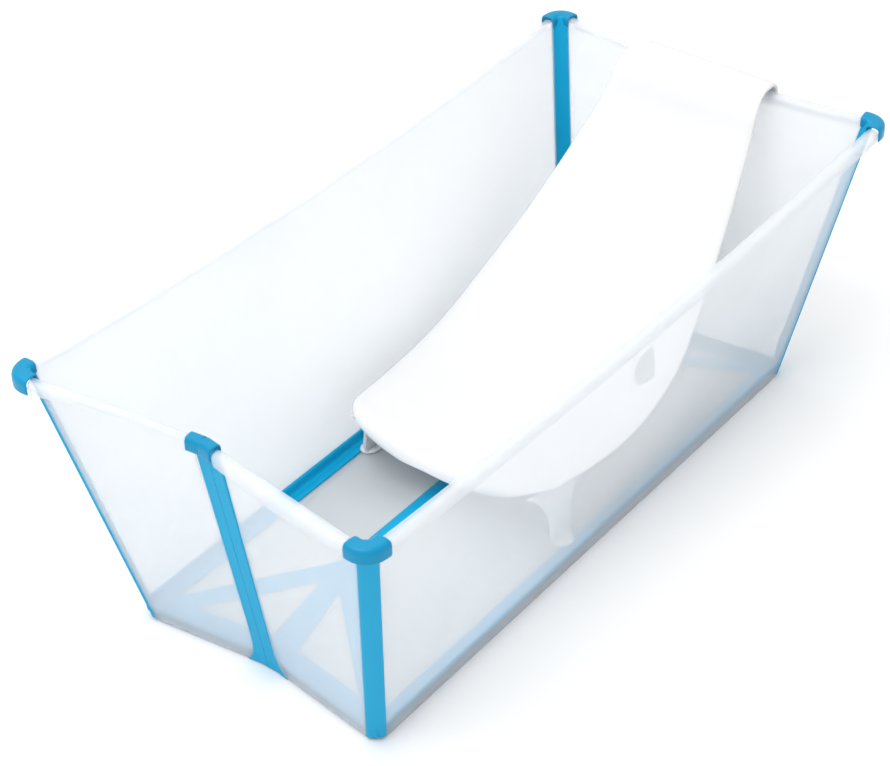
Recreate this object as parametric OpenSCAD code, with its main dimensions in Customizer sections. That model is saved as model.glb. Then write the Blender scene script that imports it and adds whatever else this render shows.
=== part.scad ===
// Foldable baby bath: rigid translucent panels joined by soft hinge strips,
// with a newborn support that hooks over the far end.
// +X is the far end, +Y the left side panel, +Z up. The origin is on the standing
// surface at the middle of the base. All sizes are in millimetres.

/* [Bath] */
// Distance between the rim corners, along the bath
rim_length = 796; // [640:2:960]
// Distance between the rim corners, across the bath
rim_width = 386; // [330:2:470]
// Height of the rim corners
rim_height = 298; // [240:1:360]
// Length of the base
base_length = 680; // [560:2:800]
// Width of the base
base_width = 280; // [230:2:330]
// How far the end seams stand inward at the base
end_bow = 18; // [12:0.5:24]
// How far the long rims dip between their corners
rim_dip = 14; // [6:0.5:20]

/* [Panels] */
// Thickness of every panel
panel_t = 3; // [2:0.1:3.6]
// Distance from the base end to the floor apex
apex_inset = 128; // [100:1:150]
// Height of the floor ridge above the floor edges
ridge_rise = 36; // [26:1:44]

/* [Soft strips] */
// Half width of the strips at the corners
corner_half = 12; // [9:0.5:14]
// Half width of the strips at the end seams
seam_half = 12; // [9:0.5:14]
// Half width of the strips in the floor
floor_half = 9.5; // [7:0.5:12]
// How much wider each half of an end seam strip is at the rim
seam_taper = 4; // [2:0.5:6]
// How much wider each half of an apex strip is at the end seam
apex_taper = 8; // [5:0.5:10]
// Clearance between a strip and a panel that turns against it
strip_gap = 0.3; // [0.2:0.05:0.6]

/* [Rim] */
// Outward width of the rim
rim_w = 12; // [9:0.5:15]
// Depth of the skirt below the rim
rim_skirt = 13; // [9:0.5:18]
// Rim width beside the end seam, right half
rim_seam_right = 9; // [6:0.5:10]
// Rim width beside the end seam, left half
rim_seam_left = 4; // [3.5:0.25:6]
// Length of a rim cap along each side of its seam
cap_len = 19; // [14:0.5:24]

/* [Newborn support] */
// Thickness of the shell
shell_t = 4; // [3:0.25:5]
// Width across the hook
shell_top_w = 160; // [140:2:190]
// Width across the seat
shell_seat_w = 262; // [220:2:266]
// Height of the seat surface above the ground
seat_z = 84; // [74:1:96]
// How far the front lip reaches past the middle of the bath
seat_reach = 92; // [70:1:110]

/* [Drain] */
// Diameter of the drain hole
drain_d = 26; // [20:0.5:30]
// Distance from the far base end to the drain
drain_inset = 215; // [190:1:240]
// Distance from the middle to the drain, across
drain_side = 70; // [55:1:85]

/* [Hidden] */

plastic = [0.90, 0.95, 0.97, 0.45];
soft_blue = [0.10, 0.62, 0.80];
white = [0.97, 0.97, 0.97];

// Corner points of one side panel, on the panel's middle surface
base_corner = [-base_length / 2, base_width / 2, 0];
rim_corner = [-rim_length / 2, rim_width / 2, rim_height];
base_seam = [-base_length / 2 + end_bow, 0, 0];
// The end half panel is flat, so its upper seam point follows from the other three
end_normal = cross(rim_corner - base_corner, base_seam - base_corner);
rim_seam = [base_corner[0] + (end_normal[1] * base_corner[1] - end_normal[2] * rim_height)
            / end_normal[0], 0, rim_height];
side_lean = atan((rim_width - base_width) / 2 / rim_height);
side_slope = norm([rim_width / 2 - base_width / 2, rim_height]);
rim_radius = (pow(rim_length / 2, 2) + pow(rim_dip, 2)) / (2 * rim_dip);

// The floor hangs on hinge lines a little inside and above the base edges
hinge_inset = 6;
hinge_gap = 2;
floor_z = 6;
floor_corner = [-base_length / 2 + hinge_inset + hinge_gap, base_width / 2 - hinge_inset, floor_z];
floor_seam = [-base_length / 2 + end_bow + hinge_inset + hinge_gap, 0, floor_z];
apex = [-base_length / 2 + apex_inset, 0, floor_z + ridge_rise];
floor_slope = atan(ridge_rise / floor_corner[1]);

// Clearance of the rigid end panels above the ground, and of their soft feet
end_foot = 9;
end_lift = 0.8;
triangle_edge = 15;
cove_lap = 1;

// Outline of each flat panel on its seams, and how far it stops short of each seam
side_outline = [base_corner, flip_x(base_corner), flip_x(rim_corner), rim_corner];
side_inset = [-panel_t / 2 * tan(side_lean), corner_half, 0, corner_half];
end_outline = [base_corner, base_seam, rim_seam + unit(base_corner - base_seam) * seam_taper, rim_corner];
end_inset = [end_foot, seam_half, 0, corner_half];
floor_outline = [floor_corner, apex, flip_x(apex), flip_x(floor_corner)];
floor_inset = [floor_half, floor_half, floor_half, floor_half - cove_lap];
triangle_outline = [floor_corner, floor_seam + unit(floor_corner - floor_seam) * apex_taper, apex];
triangle_inset = [triangle_edge, floor_half, floor_half];

// Overlap of bodies that are joined, and how far a cut passes the face it cuts
lap = 0.5;
cut_past = 1;

// Gaps and sizes of the soft strips, rim caps and drain seal
mitre_gap = 0.6;
bead_in = 0.5;
bead_cut = 10;
bead_d = panel_t + 1.2;
cove_h = 14;
cove_gap = 0.2;
cove_foot = 3;
cove_t = 2;
cove_cut = 32;
seam_cut = 14;
cap_t = 2.2;
cap_over = 1.2;
cap_lift = 0.8;
cap_gap = 1.5;
ring_wall = 4;
ring_flange = 7;
ring_lip = 1.6;
ring_gap = 0.3;
plug_t = 2;
foot_gap = 0.4;
round_fn = 64;
big_fn = 1440;

// The support's hook clears the rim, and its seat is widest over seat_wide
hook_gap = 4;
hook_over = 10;
hook_drop = 16;
hook_turn = 4;
hook_x = -rim_seam[0];
hook_z = rim_height + hook_over;
hook_share = shell_top_w / rim_width;
hook_bow = (rim_length / 2 - hook_x) * hook_share;
hook_end = hook_x + hook_bow + rim_seam_right + (rim_w - rim_seam_right) * hook_share + hook_gap;
seat_round = 44;
seat_pinch = 14;
seat_wide_x = 80;
seat_wide = 56;
lip_rise = 3;
front_bow = 8;
foot_x = -28;
foot_d = 22;
foot_h = 3;
foot_inset = 3;
foot_edge = 20;
seat_half = shell_seat_w / 2;
leg_lean = 8;
leg_w = 44;
leg_t = 4;

// Rise of the seat towards the hook: share of the way there, share of the height
seat_rise = [
    [0, -0.005],
    [0.107, -0.014],
    [0.228, 0.009],
    [0.335, 0.062],
    [0.429, 0.143],
    [0.536, 0.268],
    [0.656, 0.429],
    [0.777, 0.616],
    [0.892, 0.839],
    [0.941, 0.955]
];

// Middle line of the support's shell from the front lip to the hook: x, z
shell_path = concat(
    [
        [-seat_reach, seat_z + lip_rise],
        [-seat_reach / 2, seat_z + lip_rise / 3]
    ],
    [for (s = seat_rise) [hook_x * s[0], seat_z + (hook_z - seat_z) * s[1]]],
    [
        [hook_x - 2 * hook_turn, hook_z],
        [hook_x + rim_w / 2, hook_z],
        [hook_end - hook_turn, hook_z - hook_turn],
        [hook_end, hook_z - 2 * hook_turn],
        [hook_end, hook_z - 2 * hook_turn - hook_drop]
    ]
);

function unit(v) = v / norm(v);
function flip_x(p) = [-p[0], p[1], p[2]];

// Intersection of two lines, each given by a point and a direction
function meet(p, u, q, v) =
    let (d = u[0] * v[1] - u[1] * v[0])
    p + u * (((q[0] - p[0]) * v[1] - (q[1] - p[1]) * v[0]) / d);

// Flat outline moved inward by its own distance on each edge, counter-clockwise
function inset_outline(pts, dist) =
    let (n = len(pts))
    [for (i = [0 : n - 1])
        let (
            a = pts[(i + n - 1) % n],
            b = pts[i],
            c = pts[(i + 1) % n],
            u = unit(b - a),
            v = unit(c - b),
            pu = b + [-u[1], u[0]] * dist[(i + n - 1) % n],
            pv = b + [-v[1], v[0]] * dist[i]
        )
        meet(pu, u, pv, v)];

// Axes of the plane through p, with its x axis towards q and r on its y side
function axis_x(p, q) = unit(q - p);
function axis_z(p, q, r) = unit(cross(q - p, r - p));
function axis_y(p, q, r) = cross(axis_z(p, q, r), axis_x(p, q));
function local(p, q, r, s) = [(s - p) * axis_x(p, q), (s - p) * axis_y(p, q, r)];

module in_plane(p, q, r) {
    x = axis_x(p, q);
    y = axis_y(p, q, r);
    z = axis_z(p, q, r);
    multmatrix([
        [x[0], y[0], z[0], p[0]],
        [x[1], y[1], z[1], p[1]],
        [x[2], y[2], z[2], p[2]],
        [0, 0, 0, 1]
    ])
    children();
}

// Flat plate on the corner points, inset from each edge, centred on their plane
module plate(pts, dist, t) {
    flat = [for (s = pts) local(pts[0], pts[1], pts[2], s)];
    in_plane(pts[0], pts[1], pts[2])
    linear_extrude(t, center = true)
    polygon(inset_outline(flat, dist));
}

// Half of a soft strip, in the plane of the panel pts: it fills the space between
// the bead on the seam a-b and the panel's own edge i, less clear, with mitred ends
module edge_band(a, b, pts, dist, i, t, clear) {
    flat = [for (s = pts) local(pts[0], pts[1], pts[2], s)];
    inner = inset_outline(flat, dist);
    p = local(pts[0], pts[1], pts[2], a);
    q = local(pts[0], pts[1], pts[2], b);
    u = unit(q - p);
    end_gap = u * mitre_gap;
    share = bead_in / dist[i];
    back = [-u[1], u[0]] * clear;
    in_plane(pts[0], pts[1], pts[2])
    linear_extrude(t, center = true)
    polygon([
        p + end_gap + (inner[i] - p) * share,
        q - end_gap + (inner[(i + 1) % len(pts)] - q) * share,
        inner[(i + 1) % len(pts)] - end_gap - back,
        inner[i] + end_gap - back
    ]);
}

// Round bead that joins the two halves of a strip along their seam
module bead(a, b, d, cut) {
    u = unit(b - a);
    hint = abs(u[2]) > 0.9 ? [1, 0, 0] : [0, 0, 1];
    start = a + u * cut;
    in_plane(start, b, start + cross(u, hint))
    rotate([0, 90, 0])
    cylinder(d = d, h = norm(b - a) - 2 * cut, $fn = round_fn);
}

module left_or_right(side) {
    if (side == "left") children();
    else mirror([0, 1, 0]) children();
}

module near_or_far(end) {
    if (end == "near") children();
    else mirror([1, 0, 0]) children();
}

// Side panel in its own plane: x along the bath, y up the slope. Its foot reaches
// a little below the ground, where side_panel cuts it off flat
module side_flat() {
    flat = [for (s = side_outline) local(side_outline[0], side_outline[1], side_outline[2], s)];
    difference() {
        polygon(inset_outline(flat, side_inset));
        translate([base_length / 2, side_slope - rim_dip + rim_radius])
        circle(r = rim_radius, $fn = big_fn);
    }
}

// Band that follows the dipping rim between two depths below it
module rim_band(upper, lower) {
    half_rim = rim_length / 2 - cap_len;
    translate([base_length / 2, side_slope - rim_dip])
    intersection() {
        translate([-half_rim, -2 * rim_skirt])
        square([2 * half_rim, rim_dip + 4 * rim_skirt]);
        translate([0, rim_radius])
        difference() {
            circle(r = rim_radius + lower, $fn = big_fn);
            circle(r = rim_radius + upper, $fn = big_fn);
        }
    }
}

module side_panel(side) {
    rim_z = -panel_t / 2 - rim_w;
    color(plastic)
    left_or_right(side)
    difference() {
        in_plane(side_outline[0], side_outline[1], side_outline[2]) {
            linear_extrude(panel_t, center = true) side_flat();
            translate([0, 0, rim_z])
            linear_extrude(rim_w + panel_t / 2) rim_band(0, panel_t);
            translate([0, 0, rim_z])
            linear_extrude(panel_t) rim_band(0, rim_skirt);
        }
        translate([-rim_length, 0, -base_width]) cube([2 * rim_length, rim_width, base_width]);
    }
}

// Rim along the edge p-q of the plane p, q, r, reaching outward w_p beside p and
// w_q beside q; r lies below the edge
module end_rim(p, q, r, w_p, w_q) {
    x0 = cap_len;
    x1 = norm(q - p) - cap_len;
    inner = panel_t / 2 - lap;
    in_plane(p, q, r)
    rotate([-90, 0, 0])
    union() {
        linear_extrude(panel_t)
        polygon([[x0, inner], [x1, inner], [x1, w_q], [x0, w_p]]);
        linear_extrude(rim_skirt)
        polygon([[x0, w_p - panel_t], [x1, w_q - panel_t], [x1, w_q], [x0, w_p]]);
    }
}

module end_panel(end, side) {
    w_seam = side == "left" ? rim_seam_left : rim_seam_right;
    color(plastic)
    near_or_far(end)
    left_or_right(side)
    union() {
        plate(end_outline, end_inset, panel_t);
        end_rim(rim_corner, rim_seam, base_seam, rim_w, w_seam);
    }
}

module floor_half_panel(side) {
    color(plastic)
    left_or_right(side)
    difference() {
        plate(floor_outline, floor_inset, panel_t);
        if (side == "left")
            drain_place()
            cylinder(d = drain_d + 2 * ring_wall + 2 * ring_gap, h = drain_d, center = true, $fn = round_fn);
    }
}

module floor_triangle(end, side) {
    color(plastic)
    near_or_far(end)
    left_or_right(side)
    plate(triangle_outline, triangle_inset, panel_t);
}

module corner_strip(end, side) {
    color(soft_blue)
    near_or_far(end)
    left_or_right(side)
    union() {
        edge_band(rim_corner, base_corner, side_outline, side_inset, 3, panel_t, 0);
        edge_band(rim_corner, base_corner, end_outline, end_inset, 3, panel_t, strip_gap);
        bead(rim_corner, base_corner, bead_d, bead_cut);
    }
}

module end_strip(end) {
    color(soft_blue)
    near_or_far(end)
    union() {
        edge_band(base_seam, rim_seam, end_outline, end_inset, 1, panel_t, 0);
        mirror([0, 1, 0]) edge_band(base_seam, rim_seam, end_outline, end_inset, 1, panel_t, strip_gap);
        bead(base_seam, rim_seam, bead_d, bead_cut);
    }
}

// Point in the cross-section of a side panel: s up its slope, d inward from its middle
function wall(s, d) = [
    base_width / 2 + s * sin(side_lean) - d * cos(side_lean),
    s * cos(side_lean) + d * sin(side_lean)
];

// Point in the cross-section of the floor: s up its slope, d above its middle
function slab(s, d) = [
    floor_corner[1] - s * cos(floor_slope) + d * sin(floor_slope),
    floor_z + s * sin(floor_slope) + d * cos(floor_slope)
];

// Cove along the foot of a side panel, with a band out to the floor panel
module floor_side_strip(side) {
    long = base_length - 2 * cove_cut;
    back = panel_t / 2 + cove_gap;
    reach = floor_half - cove_lap - strip_gap;
    color(soft_blue)
    left_or_right(side)
    rotate([90, 0, 90])
    linear_extrude(long, center = true)
    polygon([
        wall(cove_foot, back),
        wall(cove_foot + cove_h, back),
        wall(cove_foot + cove_h, back + cove_t),
        wall(floor_z + cove_t, back + cove_t),
        slab(0, cove_t / 2),
        slab(reach, cove_t / 2),
        slab(reach, -cove_t / 2),
        slab(0, -cove_t / 2)
    ]);
}

// Foot of an end half panel: a band up the panel, a ledge and a band in the floor
module floor_end_strip(end, side) {
    along = unit(base_seam - base_corner);
    back = [floor_z * (rim_corner[0] - base_corner[0]) / rim_height, 0, 0];
    color(soft_blue)
    near_or_far(end)
    left_or_right(side)
    union() {
        edge_band(base_corner + along * panel_t + [0, 0, end_lift], base_seam + [0, 0, end_lift],
                  end_outline, end_inset, 0, panel_t, 0);
        edge_band(floor_corner, floor_seam, triangle_outline, triangle_inset, 0, cove_t, strip_gap);
        translate([0, 0, floor_z - cove_t])
        linear_extrude(cove_t)
        polygon([
            for (p = [
                base_corner + along * cove_cut + back,
                base_seam - along * seam_cut + back,
                floor_seam - along * seam_cut + [lap, 0, 0],
                floor_corner + along * cove_cut + [lap, 0, 0]
            ]) [p[0], p[1]]
        ]);
    }
}

module diagonal_strip(end, side) {
    color(soft_blue)
    near_or_far(end)
    left_or_right(side)
    union() {
        edge_band(floor_corner, apex, floor_outline, floor_inset, 0, panel_t, 0);
        edge_band(apex, floor_corner, triangle_outline, triangle_inset, 2, panel_t, strip_gap);
        bead(floor_corner, apex, bead_d, bead_cut);
    }
}

module apex_strip(end) {
    color(soft_blue)
    near_or_far(end)
    union() {
        edge_band(floor_seam, apex, triangle_outline, triangle_inset, 1, panel_t, 0);
        mirror([0, 1, 0])
        edge_band(floor_seam, apex, triangle_outline, triangle_inset, 1, panel_t, strip_gap);
        bead(floor_seam, apex, bead_d, bead_cut);
    }
}

module ridge_strip() {
    color(soft_blue)
    union() {
        edge_band(apex, flip_x(apex), floor_outline, floor_inset, 1, panel_t, 0);
        mirror([0, 1, 0])
        edge_band(apex, flip_x(apex), floor_outline, floor_inset, 1, panel_t, strip_gap);
        bead(apex, flip_x(apex), bead_d, bead_cut);
    }
}

// Saddle over the rim at a corner
module corner_cap(end, side) {
    r_out = rim_w + cap_over;
    color(soft_blue)
    near_or_far(end)
    left_or_right(side)
    translate([rim_corner[0], rim_corner[1], rim_height + cap_lift])
    difference() {
        translate([0, 0, -rim_skirt])
        linear_extrude(rim_skirt + cap_t) cap_outline(r_out);
        translate([0, 0, -rim_skirt - cut_past])
        linear_extrude(rim_skirt + cut_past) cap_outline(r_out - cap_t);
    }
}

// Outline round a rim corner: quarter disc with two short arms
module cap_outline(r) {
    arm = cap_len - cap_gap;
    union() {
        intersection() {
            circle(r = r, $fn = round_fn);
            translate([-r, -panel_t]) square(r + panel_t);
        }
        translate([0, -panel_t]) square([arm, r + panel_t]);
        translate([-r, -arm]) square([r + panel_t, arm]);
    }
}

// Saddle over the rim at an end seam
module seam_cap(end) {
    arm = cap_len - cap_gap;
    lip = rim_seam_right + cap_over;
    color(soft_blue)
    near_or_far(end)
    translate([rim_seam[0], 0, rim_height + cap_lift])
    difference() {
        translate([-lip, -arm, -rim_skirt])
        cube([lip + panel_t, 2 * arm, rim_skirt + cap_t]);
        translate([-lip + cap_t, -arm - cut_past, -rim_skirt - cut_past])
        cube([lip + panel_t, 2 * arm + 2 * cut_past, rim_skirt + cut_past]);
    }
}

// Point at share t of the smooth curve through b and c, with neighbours a and d
function smooth_point(a, b, c, d, t) =
    0.5 * (2 * b + (c - a) * t + (2 * a - 5 * b + 4 * c - d) * t * t
           + (3 * b - a - 3 * c + d) * t * t * t);

function smooth_path(pts, steps) =
    let (n = len(pts))
    [for (i = [0 : n - 2])
        for (k = [0 : steps - 1])
            smooth_point(pts[max(i - 1, 0)], pts[i], pts[i + 1], pts[min(i + 2, n - 1)], k / steps),
     pts[n - 1]];

// Outline of a strip of width w that runs along the path
function ribbon(path, w) =
    let (
        n = len(path),
        side = [for (i = [0 : n - 1])
            let (u = unit(path[min(i + 1, n - 1)] - path[max(i - 1, 0)]))
            [-u[1], u[0]] * w / 2]
    )
    concat(
        [for (i = [0 : n - 1]) path[i] + side[i]],
        [for (i = [n - 1 : -1 : 0]) path[i] - side[i]]
    );

// Plan view of the support: narrow at the hook, wide and rounded at the seat
module support_plan() {
    front = -seat_reach + front_bow + seat_round;
    hull() {
        for (s = [-1, 1])
            translate([front, s * (seat_half - seat_pinch - seat_round)])
            circle(r = seat_round, $fn = round_fn);
        translate([-seat_reach, -seat_round / 2]) square(seat_round);
        translate([seat_wide_x, -seat_half]) square([seat_wide, 2 * seat_half]);
        translate([hook_x, -shell_top_w / 2]) square([hook_end + shell_t - hook_x, shell_top_w]);
    }
}

// Leg under the front of the seat, with a round foot that stands on the floor panel
module support_leg() {
    foot_y = min(seat_half - seat_pinch - foot_inset, floor_corner[1] - foot_edge);
    top_y = foot_y - leg_lean;
    hull() {
        on_floor(foot_x, foot_y) cylinder(d = foot_d, h = foot_h, $fn = round_fn);
        translate([foot_x - leg_w / 2, top_y, seat_z + leg_t / 2]) cube([leg_w, leg_t, 1]);
    }
}

module newborn_support() {
    color(white)
    union() {
        intersection() {
            rotate([90, 0, 0])
            linear_extrude(4 * seat_half, center = true)
            polygon(ribbon(smooth_path(shell_path, 3), shell_t));
            linear_extrude(2 * rim_height) support_plan();
        }
        for (s = [0, 1]) mirror([0, s, 0]) support_leg();
    }
}

// Places its children on the top face of the left floor panel at x, y
module on_floor(x, y) {
    translate([x, y, floor_z + ridge_rise * (1 - y / floor_corner[1])])
    rotate([-floor_slope, 0, 0])
    translate([0, 0, panel_t / 2 + foot_gap])
    children();
}

module drain_place() {
    on_floor(base_length / 2 - drain_inset, drain_side)
    translate([0, 0, -panel_t / 2 - foot_gap])
    children();
}

module drain_ring() {
    color(soft_blue)
    drain_place()
    difference() {
        translate([0, 0, -panel_t / 2 - ring_lip])
        union() {
            cylinder(d = drain_d + 2 * ring_wall, h = panel_t + 2 * ring_lip, $fn = round_fn);
            cylinder(d = drain_d + 2 * ring_flange, h = ring_lip - ring_gap, $fn = round_fn);
        }
        cylinder(d = drain_d, h = drain_d, center = true, $fn = round_fn);
    }
}

module drain_plug() {
    color(soft_blue)
    drain_place()
    translate([0, 0, panel_t / 2 + ring_lip])
    union() {
        translate([0, 0, ring_gap]) cylinder(d = drain_d + 2 * ring_wall, h = plug_t, $fn = round_fn);
        translate([0, 0, -panel_t]) cylinder(d = drain_d - 2 * ring_gap, h = panel_t + plug_t / 2, $fn = round_fn);
    }
}

side_panel("left");  // side_panel_left
side_panel("right");  // side_panel_right
end_panel("near", "left");  // near_end_panel_left
end_panel("near", "right");  // near_end_panel_right
end_panel("far", "left");  // far_end_panel_left
end_panel("far", "right");  // far_end_panel_right
floor_half_panel("left");  // floor_panel_left
floor_half_panel("right");  // floor_panel_right
floor_triangle("near", "left");  // near_floor_triangle_left
floor_triangle("near", "right");  // near_floor_triangle_right
floor_triangle("far", "left");  // far_floor_triangle_left
floor_triangle("far", "right");  // far_floor_triangle_right
corner_strip("near", "left");  // near_corner_strip_left
corner_strip("near", "right");  // near_corner_strip_right
corner_strip("far", "left");  // far_corner_strip_left
corner_strip("far", "right");  // far_corner_strip_right
end_strip("near");  // near_end_strip
end_strip("far");  // far_end_strip
floor_side_strip("left");  // floor_side_strip_left
floor_side_strip("right");  // floor_side_strip_right
floor_end_strip("near", "left");  // near_floor_end_strip_left
floor_end_strip("near", "right");  // near_floor_end_strip_right
floor_end_strip("far", "left");  // far_floor_end_strip_left
floor_end_strip("far", "right");  // far_floor_end_strip_right
diagonal_strip("near", "left");  // near_diagonal_strip_left
diagonal_strip("near", "right");  // near_diagonal_strip_right
diagonal_strip("far", "left");  // far_diagonal_strip_left
diagonal_strip("far", "right");  // far_diagonal_strip_right
apex_strip("near");  // near_apex_strip
apex_strip("far");  // far_apex_strip
ridge_strip();
corner_cap("near", "left");  // near_corner_cap_left
corner_cap("near", "right");  // near_corner_cap_right
corner_cap("far", "left");  // far_corner_cap_left
corner_cap("far", "right");  // far_corner_cap_right
seam_cap("near");  // near_seam_cap
seam_cap("far");  // far_seam_cap
newborn_support();
drain_ring();
drain_plug();
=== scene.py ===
"""Looks of a foldable baby bath: milky panels, soft blue hinge strips and a white newborn support.

Every shown piece is a thick sheet worked out with numpy round the seams between the panels. A piece
on one body moves with the body of the part that it stands for; a piece between two bodies stays
put.
"""

import sys
import logging
import math
from dataclasses import dataclass, field
from enum import Enum
from typing import Any, Sequence

import bpy
import numpy as np
from mathutils import Matrix, Vector


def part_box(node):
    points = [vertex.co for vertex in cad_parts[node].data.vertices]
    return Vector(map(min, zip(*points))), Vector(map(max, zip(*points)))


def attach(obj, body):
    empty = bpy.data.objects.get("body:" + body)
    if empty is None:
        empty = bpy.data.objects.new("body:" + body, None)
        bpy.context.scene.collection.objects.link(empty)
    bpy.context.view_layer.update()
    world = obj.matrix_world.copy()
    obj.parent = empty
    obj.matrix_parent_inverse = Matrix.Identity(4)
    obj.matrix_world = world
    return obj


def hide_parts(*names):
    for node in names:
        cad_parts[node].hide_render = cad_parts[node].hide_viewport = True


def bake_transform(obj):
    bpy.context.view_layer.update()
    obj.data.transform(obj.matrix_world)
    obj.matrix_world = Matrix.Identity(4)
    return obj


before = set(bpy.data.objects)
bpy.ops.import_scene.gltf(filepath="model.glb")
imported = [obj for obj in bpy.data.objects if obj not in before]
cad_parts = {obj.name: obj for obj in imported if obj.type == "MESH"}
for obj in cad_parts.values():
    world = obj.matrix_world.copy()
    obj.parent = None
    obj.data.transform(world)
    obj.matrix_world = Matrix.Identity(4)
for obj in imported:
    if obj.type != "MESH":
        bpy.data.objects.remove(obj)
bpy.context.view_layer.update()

log = logging.getLogger("baby_bath")
Array = np.ndarray
MM = 0.001
UP = np.array([0.0, 0.0, 1.0])
LEVEL = np.array([1.0, 1.0, 0.0])  # times a direction, drops its rise
AXIS = 0.01 * MM  # radius that stands for the axis in a turned profile
EDGE_STEPS = np.array([0.0, 0.08, 0.32, 0.65])  # shares of an edge's radius that get points
LAST_SHARE = 0.999  # shares past this leave the end of a line to its next part


# ---------------------------------------------------------------- places


class Side(Enum):
    """The two long sides of the bath, with the sign of y."""

    LEFT = 1
    RIGHT = -1

    @property
    def word(self) -> str:
        """The side's name as bodies and nodes spell it."""
        return self.name.lower()


class End(Enum):
    """The two ends of the bath, with the sign that turns the near end's x into this end's."""

    NEAR = 1
    FAR = -1

    @property
    def word(self) -> str:
        """The end's name as bodies and nodes spell it."""
        return self.name.lower()


def mirror(points: Array, end: End = End.NEAR, side: Side = Side.LEFT) -> Array:
    """Carries points of the near left quarter to another quarter.

    Args:
        points: Points of the near left quarter, in the last axis.
        end: The end wanted.
        side: The side wanted.

    Returns:
        The points with x and y turned as the quarter asks.
    """
    return np.asarray(points, float) * np.array([end.value, side.value, 1.0])


def unit(v: Array) -> Array:
    """Vectors over their own length, along the last axis."""
    return v / np.maximum(np.linalg.norm(v, axis=-1, keepdims=True), 1e-12)


def square_to(direction: Array, axis: Array) -> Array:
    """The part of a direction that is square to an axis, at unit length."""
    axis = unit(axis)
    return unit(direction - (direction @ axis) * axis)


@dataclass(frozen=True)
class Plan:
    """Driving sizes of the bath in metres, and the corner points of its near left quarter."""

    rim_length: float = 0.796
    rim_width: float = 0.386
    rim_height: float = 0.298
    base_length: float = 0.680
    base_width: float = 0.280
    end_bow: float = 0.018
    rim_dip: float = 0.014
    panel_t: float = 0.003
    apex_inset: float = 0.128
    ridge_rise: float = 0.036
    hinge_inset: float = 0.006
    hinge_gap: float = 0.002
    floor_z: float = 0.006
    corner_half: float = 0.012
    seam_half: float = 0.012
    floor_half: float = 0.0095
    floor_side_half: float = 0.0085
    seam_taper: float = 0.004
    apex_taper: float = 0.008
    triangle_edge: float = 0.015
    cap_len: float = 0.019

    @property
    def base_corner(self) -> Array:
        """Foot of the corner seam."""
        return np.array([-self.base_length / 2, self.base_width / 2, 0.0])

    @property
    def rim_corner(self) -> Array:
        """Top of the corner seam."""
        return np.array([-self.rim_length / 2, self.rim_width / 2, self.rim_height])

    @property
    def base_seam(self) -> Array:
        """Foot of the seam between the two halves of an end."""
        return np.array([-self.base_length / 2 + self.end_bow, 0.0, 0.0])

    @property
    def end_normal(self) -> Array:
        """Outward normal of the near left end panel."""
        normal = np.cross(self.base_seam - self.base_corner, self.rim_corner - self.base_corner)
        return unit(normal) * -np.sign(normal[0])

    @property
    def side_normal(self) -> Array:
        """Outward normal of the left side panel."""
        return unit(np.array([0.0, self.rim_height, -(self.rim_width - self.base_width) / 2]))

    @property
    def rim_seam(self) -> Array:
        """Top of the end seam: where the end panel's plane meets the rim's height at y = 0."""
        n, foot = self.end_normal, self.base_corner
        x = foot[0] + (n[1] * foot[1] - n[2] * self.rim_height) / n[0]
        return np.array([x, 0.0, self.rim_height])

    @property
    def floor_corner(self) -> Array:
        """Outer corner of the floor's hinge lines."""
        inset = self.hinge_inset
        return self.base_corner + np.array([inset + self.hinge_gap, -inset, self.floor_z])

    @property
    def floor_seam(self) -> Array:
        """Foot of the seam between the two floor triangles."""
        return self.base_seam + np.array([self.hinge_inset + self.hinge_gap, 0.0, self.floor_z])

    @property
    def apex(self) -> Array:
        """Inner end of the floor triangles, on the ridge."""
        x = -self.base_length / 2 + self.apex_inset
        return np.array([x, 0.0, self.floor_z + self.ridge_rise])

    def floor_height(self, y: float) -> float:
        """Height of the middle of the floor panel at y."""
        return self.floor_z + self.ridge_rise * (1 - abs(y) / self.floor_corner[1])


PLAN = Plan()


# ---------------------------------------------------------------- surfaces


def inset_outline(points: Array, insets: Sequence[float]) -> Array:
    """Moves each edge of a flat outline inward by its own distance and meets neighbours again.

    Args:
        points: Corners in space, all in one plane.
        insets: How far edge i, from corner i to corner i + 1, moves.

    Returns:
        The new corners, one for each old one.
    """
    x = unit(points[1] - points[0])
    z = unit(np.cross(x, points[2] - points[0]))
    y = np.cross(z, x)
    flat = np.stack([(points - points[0]) @ x, (points - points[0]) @ y], axis=1)
    along = unit(np.roll(flat, -1, axis=0) - flat)
    inward = np.stack([-along[:, 1], along[:, 0]], axis=1) * np.asarray(insets)[:, None]
    p, u = np.roll(flat + inward, 1, axis=0), np.roll(along, 1, axis=0)
    p = p - np.roll(flat, 1, axis=0) + flat
    q, v = flat + inward, along
    gap = q - p
    share = (gap[:, 0] * v[:, 1] - gap[:, 1] * v[:, 0]) / (u[:, 0] * v[:, 1] - u[:, 1] * v[:, 0])
    met = p + u * share[:, None]
    return points[0] + met[:, :1] * x + met[:, 1:] * y


def spaced(count: int, length: float, radius: float) -> Array:
    """Shares from 0 to 1 with extra ones near both ends, where an edge rounds over.

    Args:
        count: Evenly spaced shares between the rounded ends.
        length: The real length that the shares run over.
        radius: Radius of the rounded edge.

    Returns:
        Rising shares, first 0 and last 1.
    """
    near = EDGE_STEPS * radius / length
    middle = np.linspace(radius / length, 1 - radius / length, count)
    return np.concatenate([near, middle, (1 - near)[::-1]])


def open_ended(count: int, length: float, radius: float) -> Array:
    """The spaced shares without the last ones, where the next part of a line takes over."""
    share = spaced(count, length, radius)
    return share[share < LAST_SHARE]


def smooth(share: Array) -> Array:
    """Smooth step: three times the square of a share less twice its cube."""
    return share**2 * (3 - 2 * share)


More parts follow.
